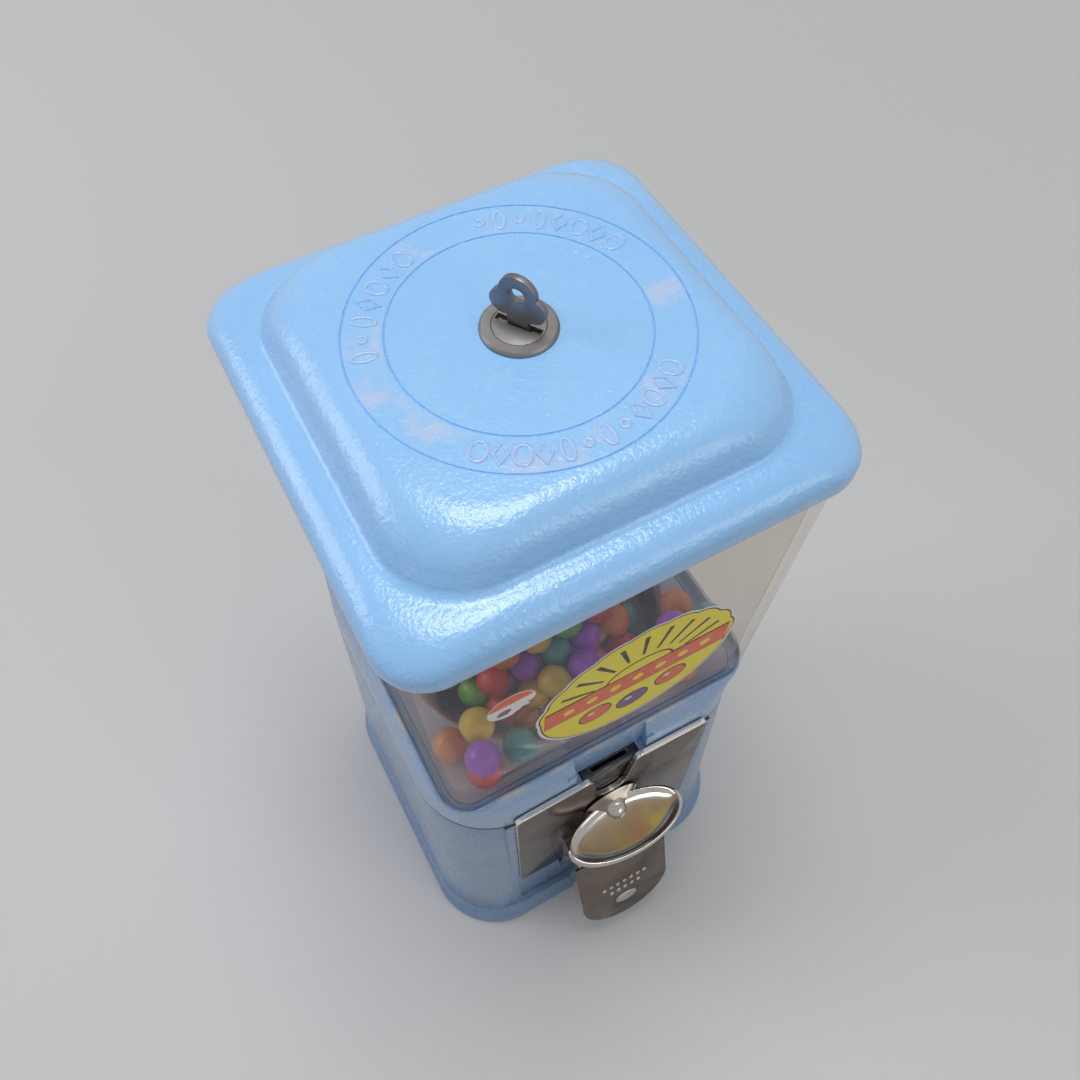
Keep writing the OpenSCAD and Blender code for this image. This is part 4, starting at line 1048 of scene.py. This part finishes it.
def badge():
    """Round badge: sun rays over a red band, with three sweets under it."""
    cx, cz, r = 8, 293, 47.5

    def scalloped(grow):
        rim = []
        for i in range(180):
            a = math.radians(2 * i)
            reach = r + grow + (1.3 * abs(math.sin(9 * a)) if i < 90 else 0.0)
            rim.append((cx + reach * math.cos(a), cz + reach * math.sin(a)))
        return rim

    layers = [(scalloped(0), "white", 1), (scalloped(-1.3), "black", 2),
              (scalloped(-2.0), "yellow", 3)]
    spread = math.radians(1.5)
    for i in range(9):
        a = math.radians(26 + 16 * i)
        ray = [(cx + q * math.cos(a + s * spread), cz + q * math.sin(a + s * spread))
               for q, s in ((24, -1), (41, -1.1), (41, 1.1), (24, 1))]
        layers.append((ray, "black", 4))
    low_z, high_z, band_r = cz - 7, cz + 9, 45
    layers.append((oval(cx, high_z, 16, 11, 24, 0, 180), "black", 4))
    layers.append((oval(cx, high_z, 15, 10, 24, 0, 180), "yellow", 5))
    low_x, high_x = [math.sqrt(band_r ** 2 - (z - cz) ** 2) for z in (low_z, high_z)]
    for grow, colour, level in ((0.7, "black", 6), (0, "red", 7)):
        layers.append(([(cx - low_x, low_z - grow), (cx + low_x, low_z - grow),
                        (cx + high_x, high_z + grow), (cx - high_x, high_z + grow)],
                       colour, level))
    for i in range(7):
        layers.append((oval(cx + 11 * (i - 3), cz + 1, 2.6, 2.6, 24), "yellow", 8))
    for x, z, colour in ((-19, -20, "red"), (0, -25, "purple"), (19, -20, "red")):
        x, z = cx + x, cz + z
        layers.append((oval(x, z, 8.2, 8.2, 36), "black", 4))
        layers.append((oval(x, z, 7.4, 7.4, 36), colour, 5))
        layers.append((oval(x - 2.2, z + 2.6, 1.8, 1.3, 20), "white", 6))
    label("glass_badge", layers)


def torn_label():
    """What is left of a small round sticker."""
    cx, cz, r = -50.8, 335.5, 10
    rng = random.Random(3)
    rim = []
    for i in range(48):
        a = 360 * i / 48
        torn = rng.uniform(0, 3.2) if 270 < a < 345 else 0
        turn = math.radians(a)
        rim.append((cx + (r - torn) * math.cos(turn), cz + (r - torn) * math.sin(turn)))
    red_part = oval(cx, cz + 1, 9.2, 8.2, 24, 8, 172)
    blot = [(cx - 3 + rng.uniform(2.2, 4.4) * math.cos(2 * math.pi * i / 16),
             cz - 4 + rng.uniform(1.6, 3.0) * math.sin(2 * math.pi * i / 16)) for i in range(16)]
    label("torn_sticker", [(rim, "white", 1), (red_part, "red", 2), (blot, "purple", 2)])


# ------------------------------------------------------------------ the object

base()
housing()
collar()
lid()
lid_relief()
lock()
refined("lock_plug", "lock_cylinder", "lock", LOCK_STEEL, 0.3)
globe()
gumballs()
front_plate()
wing()
flap_boss()
badge()
torn_label()
refined("spout", "spout_casting", "root", CHROME, 0.5)
refined("chute_flap", "spout_flap", "flap", FLAP_CHROME, 0.5)
refined("coin_guide", "coin_slot_block", "root", BLACK, 0.25)
refined("coin_wheel", "coin_drum", "handle", BLACK, 0.25)
refined("key", "lock_key", "key", KEY_STEEL, 0.3)

NODE_LOOKS = [
    (DARK, "base_screws floor_screws mech_nuts flap_pin lock_nut"),
    (STEEL, "wheel_floor ball_guard centre_rod mech_frame chute coin_tray"),
    (STEEL, "handle_shaft ratchet pawl"),
    (BRASS, "rod_socket wheel_clip pinion"),
    (RUBBER, "lid_gasket"),
    (PIT, "hopper"),
    (PLASTIC, "ball_wheel"),
]
for look, node_names in NODE_LOOKS:
    for node_name in node_names.split():
        materials = frame["nodes"][node_name].data.materials
        materials.clear()
        materials.append(look)

# ------------------------------------------------------------------ studio


def seen_directly(tree):
    """1 for a ray from the camera, a mirror or glass, and 0 for light that falls on a surface."""
    rays = tree.nodes.new("ShaderNodeLightPath").outputs
    seen = rays["Is Camera Ray"]
    for other in ("Is Glossy Ray", "Is Transmission Ray"):
        either = tree.nodes.new("ShaderNodeMath")
        either.operation = "MAXIMUM"
        tree.links.new(seen, either.inputs[0])
        tree.links.new(rays[other], either.inputs[1])
        seen = either.outputs[0]
    return seen


def floor():
    """Pale matt floor that runs into the backdrop far from the object."""
    reach = 9000
    m = Nodes("pale_floor")
    far = m.ramp(m.from_axis(), 0.5, 2.8, 0.0, 0.42)
    paper = m.shader("ShaderNodeBsdfPrincipled", Base_Color=(0.74, 0.735, 0.72), Roughness=0.9,
                     Specular_IOR_Level=0.1)
    glow = m.shader("ShaderNodeEmission", Color=(0.97, 0.98, 1.0),
                    Strength=m.times(far, seen_directly(m.tree)))
    both = m.tree.nodes.new("ShaderNodeAddShader")
    m.tree.links.new(paper, both.inputs[0])
    m.tree.links.new(glow, both.inputs[1])
    m.show(both.outputs[0])
    points = [(-reach, -reach, 0), (reach, -reach, 0), (reach, reach, 0), (-reach, reach, 0)]
    obj = object_from("floor", points, [(0, 1, 2, 3)])
    obj.data.materials.append(m.material)
    obj.location.z = mm(-0.2)


def softbox(name, place, size, power, colour=(1, 1, 1)):
    """A soft lamp aimed at the machine's upper half, placed in metres."""
    data = bpy.data.lights.new(name, "AREA")
    data.shape = "RECTANGLE"
    data.size, data.size_y = size
    data.energy = power
    data.color = colour
    obj = bpy.data.objects.new(name, data)
    obj.location = place
    aim = Vector((0, 0, 0.38)) - Vector(place)
    obj.rotation_euler = aim.to_track_quat("-Z", "Y").to_euler()
    bpy.context.scene.collection.objects.link(obj)


def world():
    """Dim daylight on the object, and a pale backdrop where it is seen or mirrored."""
    scene_world = bpy.data.worlds.new("studio")
    bpy.context.scene.world = scene_world
    scene_world.use_nodes = True
    tree = scene_world.node_tree
    background = tree.nodes["Background"]
    background.inputs["Color"].default_value = (0.97, 0.98, 1.0, 1)
    strength = tree.nodes.new("ShaderNodeMapRange")
    tree.links.new(seen_directly(tree), strength.inputs["Value"])
    strength.inputs["To Min"].default_value = 0.30
    strength.inputs["To Max"].default_value = 0.66
    tree.links.new(strength.outputs[0], background.inputs["Strength"])


def camera():
    """The photograph's viewing angle, from a perspective fit of the straight edges."""
    data = bpy.data.cameras.new("camera")
    data.lens = 32.59
    data.sensor_width = 36
    data.sensor_fit = "HORIZONTAL"
    data.clip_start = 0.01
    obj = bpy.data.objects.new("camera", data)
    obj.location = [mm(c) for c in (-104.0, -204.8, 671.5)]
    obj.rotation_euler = Vector((0.2454, 0.4487, -0.8593)).to_track_quat("-Z", "Y").to_euler()
    bpy.context.scene.collection.objects.link(obj)
    bpy.context.scene.camera = obj


floor()
softbox("top_box", (0.05, 0.10, 1.55), (0.55, 0.55), 7.4, (0.97, 1.0, 1.0))
softbox("left_box", (-1.15, 0.75, 1.0), (0.7, 0.9), 6.0, (0.90, 0.88, 1.0))
softbox("front_box", (0.55, -1.15, 0.95), (0.8, 0.5), 2.6)
world()
camera()
bpy.context.scene.view_settings.view_transform = "Standard"
